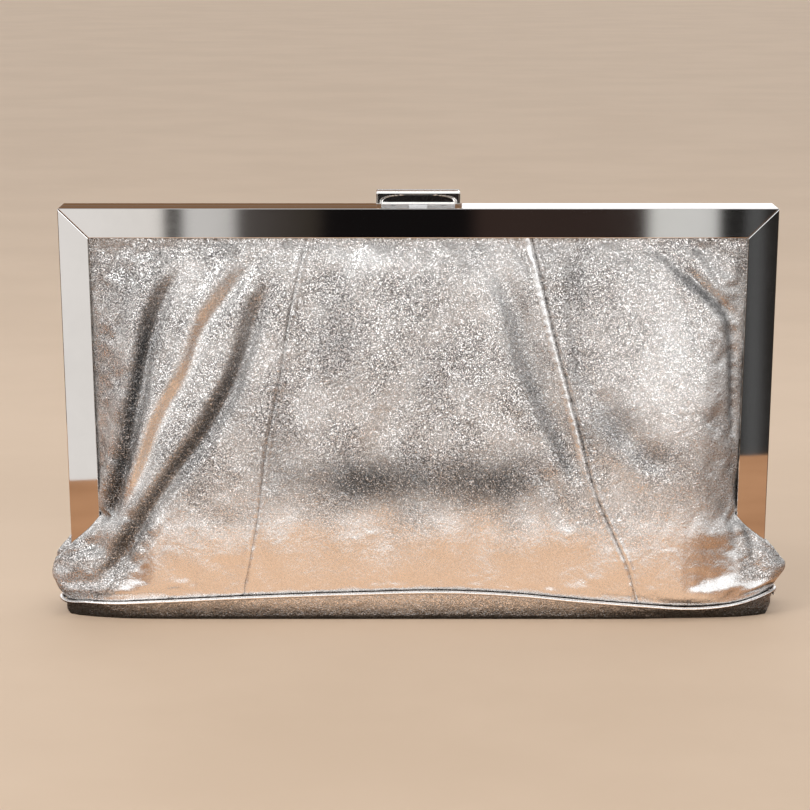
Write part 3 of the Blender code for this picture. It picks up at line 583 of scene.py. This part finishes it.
def math_node(tree, operation, a, b=None, c=None, clamp=False):
    made = tree.nodes.new("ShaderNodeMath")
    made.operation, made.use_clamp = operation, clamp
    for key, value in enumerate((a, b, c)):
        if isinstance(value, (int, float)):
            made.inputs[key].default_value = value
        elif value is not None:
            tree.links.new(value, made.inputs[key])
    return made.outputs[0]


def noise_node(tree, vector, scale, detail=2.0, roughness=0.5, distortion=0.0, output="Fac"):
    values = {"Scale": scale, "Detail": detail, "Roughness": roughness, "Distortion": distortion}
    return add_node(tree, "ShaderNodeTexNoise", values, {"Vector": vector}).outputs[output]


def attribute_node(tree, name, output="Fac"):
    return add_node(tree, "ShaderNodeAttribute", attribute_name=name).outputs[output]


def object_place(tree):
    return add_node(tree, "ShaderNodeTexCoord").outputs["Object"]


def scaled(tree, vector, scale):
    return add_node(tree, "ShaderNodeMapping", {"Scale": scale}, {"Vector": vector}).outputs[0]


def mix_colour(tree, share, a, b, mode="MIX"):
    made = tree.nodes.new("ShaderNodeMix")
    made.data_type, made.blend_type = "RGBA", mode
    for key, value in ((0, share), (6, a), (7, b)):
        if isinstance(value, (int, float)):
            made.inputs[key].default_value = value
        elif isinstance(value, tuple):
            made.inputs[key].default_value = (*value, 1)
        else:
            tree.links.new(value, made.inputs[key])
    return made.outputs[2]


def crack_lines(tree, value, width):
    """Thin lines where a noise crosses its middle value: 1 on the line, 0 at width from it."""
    level = math_node(tree, "ABSOLUTE", math_node(tree, "SUBTRACT", value, 0.5))
    return ramp_node(tree, level, [(0.0, 1.0), (width, 0.0)])


def set_surface(tree, shader, colour, roughness, metallic=0.0):
    """Sets the shader's colour and metallic value, and its roughness from a number or a node."""
    tree.links.new(colour, shader.inputs["Base Color"])
    shader.inputs["Metallic"].default_value = metallic
    if isinstance(roughness, float):
        shader.inputs["Roughness"].default_value = roughness
    else:
        tree.links.new(roughness, shader.inputs["Roughness"])


def add_bump(tree, shader, height, distance, strength):
    bump = add_node(tree, "ShaderNodeBump", {"Distance": distance, "Strength": strength},
                    {"Height": height})
    tree.links.new(bump.outputs[0], shader.inputs["Normal"])


def foil_leather(name, strength=1.0, dark=(0.08, 0.078, 0.076)):
    """Silver foil on leather: bright flakes between fine dark cracks, over soft wrinkles, darkened by
    painted shade where the leather's mask asks for it.
    """
    material, tree, shader = node_tree(name)
    # The leather's mask of painted fold shade and dark blotches
    crinkle, shade_and_blotches = attribute_node(tree, "crinkle"), attribute_node(tree, "shade_and_blotches")
    # The leather's own points in mm, so a noise of scale 1 has features of about 1 mm
    place = scaled(tree, attribute_node(tree, "rest", "Vector"), (1000, 1000, 1000))
    warp = noise_node(tree, place, 0.55, output="Color")
    bent = add_node(tree, "ShaderNodeVectorMath", {1: (1.5, 1.5, 1.5)}, {0: warp, 2: place},
                    operation="MULTIPLY_ADD").outputs[0]
    flakes = add_node(tree, "ShaderNodeTexVoronoi", {"Scale": 1.2}, {"Vector": bent})
    wrinkle = noise_node(tree, place, 0.16, 3.0, 0.55, 0.6)
    patches = noise_node(tree, place, 0.055, 2.0, 0.55)
    vein = crack_lines(tree, noise_node(tree, bent, 1.3, 2.0, 0.55), 0.09)
    thread = crack_lines(tree, noise_node(tree, bent, 1.2, 1.0, 0.5, 0.4), 0.07)
    darkening = ramp_node(tree, patches, [(0.36, 0.55), (0.62, 1.0)])
    dull = math_node(tree, "MULTIPLY", math_node(tree, "MULTIPLY", vein, darkening), crinkle, clamp=True)
    tint = mix_colour(tree, flakes.outputs["Distance"], (0.98, 0.965, 0.955), (0.86, 0.85, 0.845))
    foil = mix_colour(tree, dull, tint, dark)
    # Painted fold shade and the dark blotches turn the foil dark except along thin threads
    between_threads = math_node(tree, "MULTIPLY_ADD", thread, -0.90, 1.0)
    foil = mix_colour(tree, math_node(tree, "MULTIPLY", between_threads, shade_and_blotches), foil, (0.060, 0.066, 0.072))
    set_surface(tree, shader, foil, math_node(tree, "MULTIPLY_ADD", dull, 0.20, 0.27), 1.0)
    height = math_node(tree, "MULTIPLY_ADD", vein, -0.8, thread)
    bump = add_node(tree, "ShaderNodeBump", {"Distance": 0.000088},
                    {"Height": height, "Strength": math_node(tree, "MULTIPLY", crinkle, strength)})
    soft = add_node(tree, "ShaderNodeBump", {"Distance": 0.0009, "Strength": 0.5},
                    {"Height": wrinkle, "Normal": bump.outputs[0]})
    tree.links.new(soft.outputs[0], shader.inputs["Normal"])
    return material


def polished(name, colour, roughness, scratch, spread):
    """Plated metal: faint wipe marks and a slow change of gloss."""
    material, tree, shader = node_tree(name)
    place = object_place(tree)
    streaks = noise_node(tree, scaled(tree, place, (60, 900, 900)), 3.0, 4.0, 0.65)
    clouds = noise_node(tree, place, 45.0, 3.0, 0.6)
    specks = noise_node(tree, place, 1500.0, 1.0)
    tint = ramp_node(tree, clouds, [(0.3, tuple(c * 0.955 for c in colour)), (0.7, colour)])
    wear = math_node(tree, "MULTIPLY", streaks, clouds)
    set_surface(tree, shader, tint, math_node(tree, "MULTIPLY_ADD", wear, spread, roughness), 1.0)
    add_bump(tree, shader, math_node(tree, "MULTIPLY_ADD", specks, 0.3, streaks), 0.00005, scratch)
    return material


def woven(name, low, high, pitch, sheen):
    """Plain weave or satin: two thread directions and slubs."""
    material, tree, shader = node_tree(name)
    rest = attribute_node(tree, "rest", "Vector")
    parts = add_node(tree, "ShaderNodeSeparateXYZ", {}, {"Vector": rest}).outputs
    turn = 2 * math.pi / pitch
    warp = math_node(tree, "SINE", math_node(tree, "MULTIPLY", parts["X"], turn))
    depth = math_node(tree, "ADD", parts["Z"], parts["Y"])
    weft = math_node(tree, "SINE", math_node(tree, "MULTIPLY", depth, turn))
    weave = math_node(tree, "MULTIPLY", warp, weft)
    share = math_node(tree, "MULTIPLY_ADD", weave, 0.22, 0.5)
    share = math_node(tree, "MULTIPLY_ADD", noise_node(tree, rest, 90.0, 4.0, 0.6), 0.6, share)
    share = math_node(tree, "SUBTRACT", share, 0.3, clamp=True)
    set_surface(tree, shader, mix_colour(tree, share, low, high), 0.62)
    shader.inputs["Sheen Weight"].default_value = sheen
    fine = noise_node(tree, rest, 2200.0, 1.0)
    add_bump(tree, shader, math_node(tree, "ADD", weave, fine), 0.0001, 0.5)
    return material


def board_material():
    """Grey board with its fibres along x."""
    material, tree, shader = node_tree("grey_board")
    grain = noise_node(tree, scaled(tree, object_place(tree), (200, 900, 900)), 2.0, 5.0, 0.7)
    colour = ramp_node(tree, grain, [(0.3, (0.30, 0.29, 0.27)), (0.7, (0.48, 0.47, 0.44))])
    set_surface(tree, shader, colour, 0.9)
    add_bump(tree, shader, grain, 0.0001, 0.4)
    return material


def assign(obj, material):
    obj.data.materials.clear()
    obj.data.materials.append(material)


# Pieces

leather = foil_leather("silver_leather")
piping_leather = foil_leather("silver_leather_piping", 0.5, (0.45, 0.43, 0.41))
satin = woven("satin_lining", (0.13, 0.13, 0.14), (0.30, 0.30, 0.32), 0.00045, 0.25)
wadding = woven("wadding", (0.72, 0.70, 0.65), (0.90, 0.88, 0.83), 0.0014, 0.5)

# Where leather and cloth bend between the back half and the front half as the frame opens
FRONT_BEND = {"start": (0, -0.0245, 0.0140), "end": (0, -0.00794, 0.02469)}
INNER_BEND = {"start": (0, 0, 0.014), "end": (0, 0, 0.048)}
VALLEY_BEND = {"start": (0, 0.0010, 0.0100), "end": (0, -0.0060, 0.0205)}
FOLD_BEND = {"start": (0, 0.0052, 0.05), "end": (0, -0.0052, 0.05)}


def fit(piece, material, node, moves_with):
    """Gives a piece its material, hides the CAD node that it stands for, if any,
    and hangs it on the body that it rides on; a piece given a bend only has its place baked into its
    points."""
    assign(piece, material)
    if node:
        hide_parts(node)
    if isinstance(moves_with, str):
        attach(piece, moves_with)
    else:
        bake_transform(piece)


def turn_round(grid):
    """The same shape on the other face of the purse."""
    return grid * np.array([-1.0, -1.0, 1.0])


def build_outer(half, seams, folds, bulges, darkening, seed):
    """One face's three leather panels, cut along the seams from one grid."""
    grid, crinkle, shade_and_blotches = make_leather(seams, folds, bulges, darkening, seed)
    words, moves_with = ("left", "center", "right"), FRONT_BEND
    if half == "back":
        grid, words, moves_with = turn_round(grid), words[::-1], "back_half"
    spans = [(0, LEFT_SEAM), (LEFT_SEAM, RIGHT_SEAM), (RIGHT_SEAM, grid.shape[1] - 1)]
    for word, (a, b) in zip(words, spans):
        piece = sheet(f"{half}_{word}_leather", grid[:, a:b + 1], LEATHER,
                      [("crinkle", crinkle[:, a:b + 1]), ("shade_and_blotches", shade_and_blotches[:, a:b + 1])])
        fit(piece, leather, f"{half}_{word}_panel", moves_with)
    return grid


front_grid = build_outer("front", FRONT_SEAMS, FRONT_FOLDS, FRONT_BULGES, FRONT_DARK_BLOTCHES, 11)
back_grid = build_outer("back", BACK_SEAMS, BACK_FOLDS, BACK_BULGES, BACK_DARK_BLOTCHES, 31)


def hem_loop():
    """The pouch's lower edge, once round: along the front, the right side, the back, the left."""
    front, back = front_grid[0], back_grid[0]
    side_steps, side_dip, point_count = 8, 0.0004, 720
    loop = []
    for a, b in ((front, back), (back, front)):
        loop.append(a)
        start, end = a[-1], b[0]
        for t in np.linspace(0, 1, side_steps + 1)[1:-1]:
            point = start * (1 - t) + end * t
            point[0] -= math.copysign(side_dip * math.sin(math.pi * t), point[0])
            loop.append(point[None])
    points = np.concatenate(loop)
    step = np.linalg.norm(np.diff(points, axis=0, append=points[:1]), axis=1)
    along = np.concatenate([[0], np.cumsum(step)])
    closed = np.concatenate([points, points[:1]])
    at = np.linspace(0, along[-1], point_count, endpoint=False)
    even = np.stack([np.interp(at, along, closed[:, k]) for k in range(3)], 1)
    for _ in range(3):
        even = (np.roll(even, 1, 0) + 2 * even + np.roll(even, -1, 0)) / 4
    return even


def build_piping():
    """The piping round the hem, and the loop that it follows."""
    outside, below = 1.25 * MM, 0.55 * MM
    path = hem_loop()
    path = path + across_loop(path) * outside - np.array([0, 0, below])
    piece = tube("hem_piping", path, 0.75 * MM, 0.68 * MM, sides=12, crinkle=0.15)
    fit(piece, piping_leather, "base_piping", "back_half")
    return path


piping_path = build_piping()


def build_base():
    """The leather bottom: flat where it stands, and turned up to the piping all round."""
    columns, rows = 181, 61
    lowest, piping_gap, wall_width, toe_width = 0.00002, 0.0002, 0.0033, 0.0044
    u = np.sin(np.linspace(-1, 1, columns) * math.pi / 2)
    v = np.sin(np.linspace(-1, 1, rows) * math.pi / 2)
    half = np.abs(piping_path[:, 0]).max() - piping_gap
    x = u * half
    lines = []
    for part in (piping_path[piping_path[:, 1] < 0], piping_path[piping_path[:, 1] >= 0]):
        part = part[np.argsort(part[:, 0])]
        lines.append([np.interp(x, part[:, 0], part[:, k]) for k in (1, 2)])
    (front_y, front_z), (back_y, back_z) = lines
    grid = np.zeros((rows, columns, 3))
    for r, share in enumerate(v):
        y = np.where(share < 0, front_y * -share, back_y * share)
        hem = np.where(share < 0, front_z, back_z) - piping_gap
        reach = np.where(share < 0, -front_y, back_y) * (1 - abs(share))
        inset = np.minimum(reach, half - np.abs(x))
        wall = np.clip(1 - inset / wall_width, 0, 1)
        toe = np.clip(1 - inset / toe_width, 0, 1)
        grid[r] = np.stack([x, y, lowest + hem * (0.90 * wall + 0.10 * toe**2)], 1)
    grid = grid[::-1]
    piece = sheet("base_leather", grid, LEATHER, [("crinkle", np.full((rows, columns), 0.6))])
    fit(piece, leather, "base_panel", "back_half")


build_base()


# Lowest and highest row of each part of a gusset
VALLEY_LOW, VALLEY_HIGH = 0.0062, 0.0205
FOLD_LOW, FOLD_HIGH = 0.0150, 0.100


def side_sheet(name, rows, outward, thickness, crinkle):
    """A sheet of the right side's rows of points, or its mirror image where outward is -1."""
    grid = np.array(rows) * np.array([outward, 1.0, 1.0])
    if outward < 0:
        grid = grid[:, ::-1]
    return sheet(name, grid, thickness, [("crinkle", np.full(grid.shape[:2], crinkle))])


def valley_row(z):
    """The soft valley between the cheeks, below the hinge, at one height."""
    t = np.linspace(-1, 1, 31)
    mouth = 0.0060 + 0.0014 * rise(0.016, VALLEY_HIGH, z)
    x = 0.1345 - 0.0022 * (1 - t**2) - 0.0010 * rise(0.014, VALLEY_HIGH, z) + 0.0006 * t**4
    y = t * mouth
    height = np.full_like(y, z)
    x = x + 0.00035 * noise(y, height, 0.0022, 0.0030, 61)
    return np.stack([x, y, height], 1)


def fold_row(z):
    """The gusset folded in between the frame's arms, above the hinge, at one height."""
    t = np.linspace(-1, 1, 61)
    height = np.full_like(t, z)
    edge = curve([0.015, 0.024, 0.039, 0.043, 0.070, 0.100],
                 [0.1268, 0.1206, 0.1204, 0.1206, 0.1210, 0.1216], z)
    inner = 0.1195 - (z - HINGE_HEIGHT) * 0.36
    x = inner + (edge - inner) * np.abs(t) ** 1.25
    width = 0.0052 * np.abs(t) ** 0.55 * np.sign(t)
    ripple = 0.0006 * noise(np.abs(t) * 0.05, height, 0.008, 0.020, 71)
    return np.stack([x, width + ripple * (1 - t**2), height], 1)


def build_side(word, outward):
    rows = [valley_row(z) for z in np.linspace(VALLEY_LOW, VALLEY_HIGH, 20)]
    low = side_sheet(f"{word}_gusset_base", rows, outward, VALLEY_LEATHER, 1.0)
    fit(low, leather, None, VALLEY_BEND)
    rows = [fold_row(z) for z in np.linspace(FOLD_LOW, FOLD_HIGH, 58)]
    high = side_sheet(f"{word}_gusset_fold", rows, outward, FOLD_LEATHER, 0.9)
    fit(high, leather, f"{word}_gusset", FOLD_BEND)


for side_word, outward in (("left", -1), ("right", 1)):
    build_side(side_word, outward)


# Inside

# The lining's least depth, how far it lies inside the outer leather, and its lower and upper edge
LINING_LEAST, LINING_INSET = 0.0063, 0.0058
LINING_LOW, LINING_HIGH = 0.0060, 0.1500


def lining_depth(x, z):
    """Depth of the lining: inside the padding in the middle, and flat at the sides."""
    outer = middle_depth(np.clip(x, -SIDE_START, SIDE_START), z)
    swell = 1 - rise(0.098, 0.119, np.abs(x))
    return np.maximum(LINING_LEAST + (outer - LINING_INSET - LINING_LEAST) * swell, LINING_LEAST)


def build_lining(half, seed):
    """One wall's lining. Soft pulls run down it, but not at its sides or under the frame."""
    z = np.linspace(LINING_LOW, LINING_HIGH, 97)[:, None]
    edge = curve([0.006, 0.040, 0.048, 0.056, 0.150], [0.1165, 0.1170, 0.1200, 0.1240, 0.1268], z)
    x = np.linspace(-1, 1, 161)[None] * edge
    z = z + 0 * x
    pulls = noise(x, z, 0.013, 0.05, seed) * 0.9 + noise(x, z, 0.005, 0.03, seed + 1) * 0.35
    free = (1 - rise(0.112, 0.120, np.abs(x))) * (1 - rise(0.120, 0.142, z))
    depth = lining_depth(x, z) + pulls * free * 0.6 * MM
    grid = np.stack([x, -depth, z], 2)
    if half == "back":
        grid = turn_round(grid)
    piece = sheet(f"{half}_lining_cloth", grid, CLOTH)
    moves_with = INNER_BEND if half == "front" else "back_half"
    fit(piece, satin, f"{half}_lining", moves_with)


build_lining("front", 81)
build_lining("back", 91)


def build_pocket():
    """A slip pocket: its mouth is hemmed and sags, and its two sides are turned under."""
    low, high, half = 0.050, 0.110, 0.045
    z = np.linspace(low, high, 61)[:, None]
    x = np.linspace(-half, half, 91)[None] + 0 * z
    z = z + 0 * x
    slack = rise(0.085, high, z) * (1 - (x / half) ** 2)
    hem = 0.0004 * rise(0.1030, 0.1042, z)
    welt = -0.0003 * np.exp(-((np.abs(x) - 0.0425) / 0.0008) ** 2)
    depth = lining_depth(x, z) - 0.0010 - 0.0009 * slack - hem - welt
    depth -= 0.0003 * noise(x, z, 0.012, 0.02, 97)
    grid = turn_round(np.stack([x, -depth, z - 0.0012 * slack], 2))
    piece = sheet("slip_pocket_cloth", grid, CLOTH)
    fit(piece, satin, "slip_pocket", "back_half")


build_pocket()


def build_base_lining():
    """The lining over the base board: flat, with rounded corners and its edge turned up."""
    half_length, half_width = 0.1230, 0.0166
    t = np.linspace(-1, 1, 161)[None]
    v = np.linspace(-1, 1, 41)[:, None]
    x = t * half_length + 0 * v
    y = v * half_width * np.sqrt(np.clip(1 - (np.abs(t) ** 14) * 0.75, 0, 1))
    edge = np.maximum(np.abs(v) ** 8, np.abs(t) ** 40)
    z = 0.0042 + 0.0002 * noise(x, y, 0.014, 0.010, 99) + 0.0005 * edge
    piece = sheet("base_lining_cloth", np.stack([x, y, z], 2), CLOTH)
    fit(piece, satin, "base_lining", "back_half")


build_base_lining()


def build_pad(name, node, low, high, moves_with):
    """A wadding pad: a crowned closed form, thinner at its edges, with stitched channels."""
    rows, columns = 61, 117
    half_width, channel_pitch, channel_width = 115.5 * MM, 38.5, 1.4
    half_thickness, edge_thickness, behind_lining = 0.0009, 0.00015, 0.0015
    v = np.linspace(0, 1, rows)[:, None]
    t = np.linspace(-1, 1, columns)[None]
    x = t * half_width + 0 * v
    z = low + (high - low) * v + 0 * t
    crown = np.sqrt(np.clip(1 - np.abs(t) ** 10, 0, 1))
    crown = crown * np.sqrt(np.clip(1 - np.abs(2 * v - 1) ** 8, 0, 1))
    off = ((x / MM / channel_pitch + 0.5) % 1 - 0.5) * channel_pitch
    channel = 1 - 0.35 * np.exp(-(off / channel_width) ** 2)
    half = half_thickness * crown * channel + edge_thickness
    middle = lining_depth(x, z) + behind_lining
    outer = np.stack([x, -(middle + half), z], 2)
    inner = np.stack([x, -(middle - half), z], 2)
    if moves_with == "back_half":
        outer, inner = turn_round(outer), turn_round(inner)
    points = np.concatenate([outer.reshape(-1, 3), inner.reshape(-1, 3)])
    piece = new_mesh(name, points, shell_faces(rows, columns))
    fit(piece, wadding, node, moves_with)


build_pad("front_pad", "front_padding", 0.0485, 0.1375, "front_half")
build_pad("front_lower_pad", "front_lower_padding", 0.0065, 0.0470, INNER_BEND)
build_pad("back_pad", "back_padding", 0.0065, 0.1375, "back_half")


def build_lever():
    """The clasp's lift lever: a plated bar whose front is scooped out under a thin arched lip."""
    low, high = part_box("latch_lever")
    half, corner, lip = high.x, 0.45 * MM, 0.20 * MM
    wall, roof, hollow = half - 1.2 * MM, high.z - 0.7 * MM, 0.6 * MM
    heel_y, heel_z = 3.2 * MM, low.z + 0.9 * MM
    end_length, end_shrink = 0.6 * MM, 0.35 * MM
    arch_half, arch_height, arch_power = 14.4 * MM, 3.6 * MM, 3.2
    scoop_depth, scoop_slope = 0.60 * MM, 0.11
    across = half * np.sin(np.linspace(-1, 1, 97) * math.pi / 2)
    turn = np.linspace(0, math.pi / 2, 6)
    rings = []
    for x in across:
        end = max(0.0, abs(x) - (half - end_length)) / end_length
        shrink = end_shrink * (1 - math.sqrt(max(0.0, 1 - end**2)))
        y0, y1 = low.y + shrink, high.y - shrink
        z0, z1 = low.z + shrink * 0.5, high.z - shrink
        up = np.linspace(z0 + lip, z1 - corner, 30)
        arch = (abs(x) / arch_half) ** arch_power + ((up - low.z) / arch_height) ** arch_power
        scoop = 1 - rise(0.86, 1.06, arch)
        lean = (high.z - up) * scoop_slope + scoop_depth
        points = [(y0 + lean[k] * scoop[k], up[k]) for k in range(len(up))]
        for cy, a in ((y0 + corner, math.pi), (y1 - corner, math.pi / 2)):
            points += [(cy + corner * math.cos(a - t), z1 - corner + corner * math.sin(a - t))
                       for t in turn]
        # Behind the front bar the lever is open below, and its end walls are cut short at the heel
        inner, ceiling = (hollow, roof) if abs(x) < wall else (heel_y, heel_z)
        points += [(y1, ceiling), (0.5 * (y1 + inner), ceiling), (inner + 0.3 * MM, ceiling),
                   (inner, ceiling - 0.3 * MM), (inner, z0 + 0.1 * MM), (inner, z0)]
        points += [(y0 + lip - lip * math.sin(t), z0 + lip - lip * math.cos(t)) for t in turn]
        rings.append([(x, y, z) for y, z in points])
    rings = np.array(rings)
    count, sides = rings.shape[:2]
    faces = []
    for r in range(count - 1):
        for k in range(sides):
            a, b = r * sides + k, r * sides + (k + 1) % sides
            faces.append((a, b, b + sides, a + sides))
    faces.append(tuple(range(sides))[::-1])
    faces.append(tuple(range((count - 1) * sides, count * sides)))
    piece = new_mesh("clasp_lever", rings.reshape(-1, 3), faces)
    piece.data.set_sharp_from_angle(angle=math.radians(32))
    plate = polished("lever_plate", (0.90, 0.885, 0.87), 0.07, 0.02, 0.05)
    fit(piece, plate, "latch_lever", "latch")


build_lever()


# CAD nodes that stay

slot_materials = {
    "mirror": polished("mirror_plate", (0.93, 0.925, 0.92), 0.022, 0.004, 0.03),
    "steel": polished("satin_steel", (0.62, 0.62, 0.63), 0.22, 0.35, 0.25),
    "board": board_material(),
}
for subpart in frame["record"]["subparts"]:
    if subpart["material_slot"] in slot_materials:
        assign(frame["nodes"][subpart["node"]], slot_materials[subpart["material_slot"]])


# Room, lights and camera

# Strength of the room where it is mirrored, and where it lights what is matt
ROOM_LIGHT, AMBIENT = 1.0, 1.15
# What the mirror-finish front reflects, in a low narrow strip of the room
ROOM_STRIP = [
    # degrees to the right of straight ahead of the front, and colour
    (-9.0, (0.80, 0.77, 0.75)), (-4.72, (0.74, 0.70, 0.66)), (-4.58, (0.05, 0.045, 0.04)),
    (-4.34, (0.06, 0.055, 0.05)), (-4.20, (0.60, 0.58, 0.56)), (-3.38, (0.52, 0.50, 0.48)),
    (-3.16, (0.07, 0.06, 0.055)), (-1.78, (0.035, 0.028, 0.022)), (-1.5, (0.006, 0.005, 0.005)),
    (1.2, (0.006, 0.005, 0.005)), (1.5, (0.035, 0.022, 0.018)), (4.6, (0.030, 0.020, 0.017)),
    (4.8, (0.64, 0.63, 0.60)), (5.95, (0.62, 0.61, 0.59)), (6.1, (0.008, 0.007, 0.007)),
    (6.5, (0.010, 0.009, 0.008)), (6.62, (0.09, 0.09, 0.09)), (6.85, (0.09, 0.09, 0.09)),
    (6.95, (0.02, 0.017, 0.015)), (9.0, (0.02, 0.018, 0.016)),
]


def build_room():
    """The world: a sky by height, changed by direction, with the strip and a dark wall."""
    world = bpy.data.worlds.new("studio")
    scene.world = world
    world.use_nodes = True
    tree = world.node_tree
    background = tree.nodes["Background"]
    place = add_node(tree, "ShaderNodeTexCoord").outputs["Generated"]
    parts = add_node(tree, "ShaderNodeSeparateXYZ", {}, {"Vector": place})
    forward = math_node(tree, "MULTIPLY", parts.outputs["Y"], -1.0)
    azimuth = math_node(tree, "ARCTAN2", parts.outputs["X"], forward)
    azimuth = math_node(tree, "MULTIPLY", azimuth, 180 / math.pi)
    height = math_node(tree, "ARCSINE", parts.outputs["Z"])
    height = math_node(tree, "MULTIPLY", height, 180 / math.pi)
    sky = ramp_node(tree, math_node(tree, "MULTIPLY_ADD", height, 1 / 180, 0.5), [
        (0.0, (0.03, 0.018, 0.01)), (0.40, (0.04, 0.025, 0.015)), (0.497, (0.12, 0.08, 0.05)),
        (0.515, (1.62, 1.60, 1.58)), (0.67, (1.62, 1.61, 1.60)), (0.74, (0.30, 0.29, 0.28)),
        (0.86, (0.30, 0.29, 0.28)), (0.93, (1.0, 1.0, 1.0)), (1.0, (1.0, 1.0, 1.0))])
    around = ramp_node(tree, math_node(tree, "MULTIPLY_ADD", azimuth, 1 / 360, 0.5), [
        (0.0, 0.90), (0.14, 0.80), (0.25, 0.45), (0.36, 0.80), (0.44, 0.92), (0.515, 1.05),
        (0.565, 1.35), (0.605, 0.55), (0.66, 0.75), (0.72, 0.60), (0.80, 0.15), (0.88, 0.70),
        (1.0, 0.90)])
    general = mix_colour(tree, 1.0, sky, around, "MULTIPLY")
    low, high = ROOM_STRIP[0][0], ROOM_STRIP[-1][0]
    share = math_node(tree, "MULTIPLY_ADD", azimuth, 1 / (high - low), -low / (high - low))
    strip = ramp_node(tree, share,
                      [((a - low) / (high - low), c) for a, c in ROOM_STRIP], False)
    near = math_node(tree, "COMPARE", azimuth, 0.5 * (low + high), 0.5 * (high - low))
    below = math_node(tree, "LESS_THAN", height, -1.0)
    above = math_node(tree, "GREATER_THAN", height, -25.0)
    mask = math_node(tree, "MULTIPLY", near, math_node(tree, "MULTIPLY", below, above))
    final = mix_colour(tree, mask, general, strip)
    # A dark wall straight behind, which only flat tops mirror
    left = math_node(tree, "LESS_THAN", azimuth, -171.0)
    middle = math_node(tree, "GREATER_THAN", azimuth, 178.9)
    over = math_node(tree, "MULTIPLY", math_node(tree, "GREATER_THAN", height, 2.5),
                     math_node(tree, "LESS_THAN", height, 9.5))
    wall = math_node(tree, "MULTIPLY", over, math_node(tree, "ADD", left, middle))
    final = mix_colour(tree, wall, final, (0.20, 0.11, 0.06))
    tree.links.new(final, background.inputs["Color"])
    diffuse = add_node(tree, "ShaderNodeLightPath").outputs["Is Diffuse Ray"]
    strength = math_node(tree, "MULTIPLY_ADD", diffuse, AMBIENT - ROOM_LIGHT, ROOM_LIGHT)
    tree.links.new(strength, background.inputs["Strength"])


def build_floor():
    material, tree, shader = node_tree("pale_floor")
    place = object_place(tree)
    clouds = noise_node(tree, place, 6.0, 4.0, 0.6)
    colour = ramp_node(tree, clouds, [(0.3, (0.70, 0.53, 0.385)), (0.7, (0.74, 0.565, 0.415))])
    set_surface(tree, shader, colour, 0.7)
    add_bump(tree, shader, noise_node(tree, place, 900.0), 0.0001, 0.3)
    floor = new_mesh("floor", [(-8, -4, 0), (8, -4, 0), (8, 14, 0), (-8, 14, 0)], [(0, 1, 2, 3)])
    assign(floor, material)
    floor.visible_glossy = False


def build_card():
    """A glowing warm card round the purse, seen only in its reflections: a painted reflection of a
    wooden table.
    """
    material, tree, shader = node_tree("glowing_reflection_card")
    tree.nodes.remove(shader)
    place = object_place(tree)
    clouds = noise_node(tree, place, 9.0, 3.0, 0.6)
    colour = ramp_node(tree, clouds, [(0.35, (0.40, 0.205, 0.105)), (0.65, (0.50, 0.265, 0.140))])
    x = add_node(tree, "ShaderNodeSeparateXYZ", {}, {"Vector": place}).outputs["X"]
    # Painted reflection: paler in front of the purse's middle, and dark far to its right
    for value, start, end, other in ((math_node(tree, "ABSOLUTE", x), 0.136, 0.116, (0.86, 0.57, 0.38)),
                                     (x, 0.19, 0.32, (0.05, 0.03, 0.02))):
        share = add_node(tree, "ShaderNodeMapRange", {"From Min": start, "From Max": end},
                         {"Value": value}).outputs["Result"]
        colour = mix_colour(tree, share, colour, other)
    glow = add_node(tree, "ShaderNodeEmission", {"Strength": 1.0}, {"Color": colour})
    tree.links.new(glow.outputs[0], tree.nodes["Material Output"].inputs["Surface"])
    # Four parts leave a gap where the purse stands
    z, wide, gap_x, gap_y = -0.0005, 8.0, 0.150, 0.0275
    outlines = [
        [(-wide, -0.250), (-0.30, -0.252), (0.30, -0.369), (wide, -0.370), (wide, -gap_y),
         (-wide, -gap_y)],
        [(-wide, -gap_y), (-gap_x, -gap_y), (-gap_x, gap_y), (-wide, gap_y)],
        [(gap_x, -gap_y), (wide, -gap_y), (wide, gap_y), (gap_x, gap_y)],
        [(-wide, gap_y), (wide, gap_y), (wide, 14), (-wide, 14)],
    ]
    corners, faces = [], []
    for outline in outlines:
        faces.append(tuple(range(len(corners), len(corners) + len(outline))))
        corners += [(x, y, z) for x, y in outline]
    card = new_mesh("glowing_reflection_card", corners, faces)
    assign(card, material)
    card.visible_camera = card.visible_diffuse = card.visible_shadow = False
    card.visible_transmission = False


def area_light(name, place, target, size, power):
    data = bpy.data.lights.new(name, "AREA")
    data.shape, data.size, data.energy = "DISK", size, power
    obj = bpy.data.objects.new(name, data)
    scene.collection.objects.link(obj)
    obj.location = place
    direction = np.array(target, float) - np.array(place, float)
    flat = math.hypot(direction[0], direction[1])
    obj.rotation_euler = (math.atan2(flat, -direction[2]), 0, math.atan2(-direction[0], direction[1]))


def build_camera():
    data = bpy.data.cameras.new("camera")
    data.lens, data.sensor_width = 132.6, 36
    data.clip_start, data.clip_end = 0.05, 60
    camera = bpy.data.objects.new("camera", data)
    scene.collection.objects.link(camera)
    camera.location = (-0.005, -1.13, 0.27)
    camera.rotation_euler = (math.radians(90 - 9.58), 0, 0)
    scene.camera = camera


build_room()
build_floor()
build_card()
area_light("key", (-0.75, -0.80, 1.10), (0, 0, 0.08), 0.8, 5.0)
area_light("top", (0.15, 0.25, 1.30), (0, 0, 0.08), 0.9, 3.0)
build_camera()
scene.view_settings.view_transform = "Standard"

bpy.context.view_layer.update()
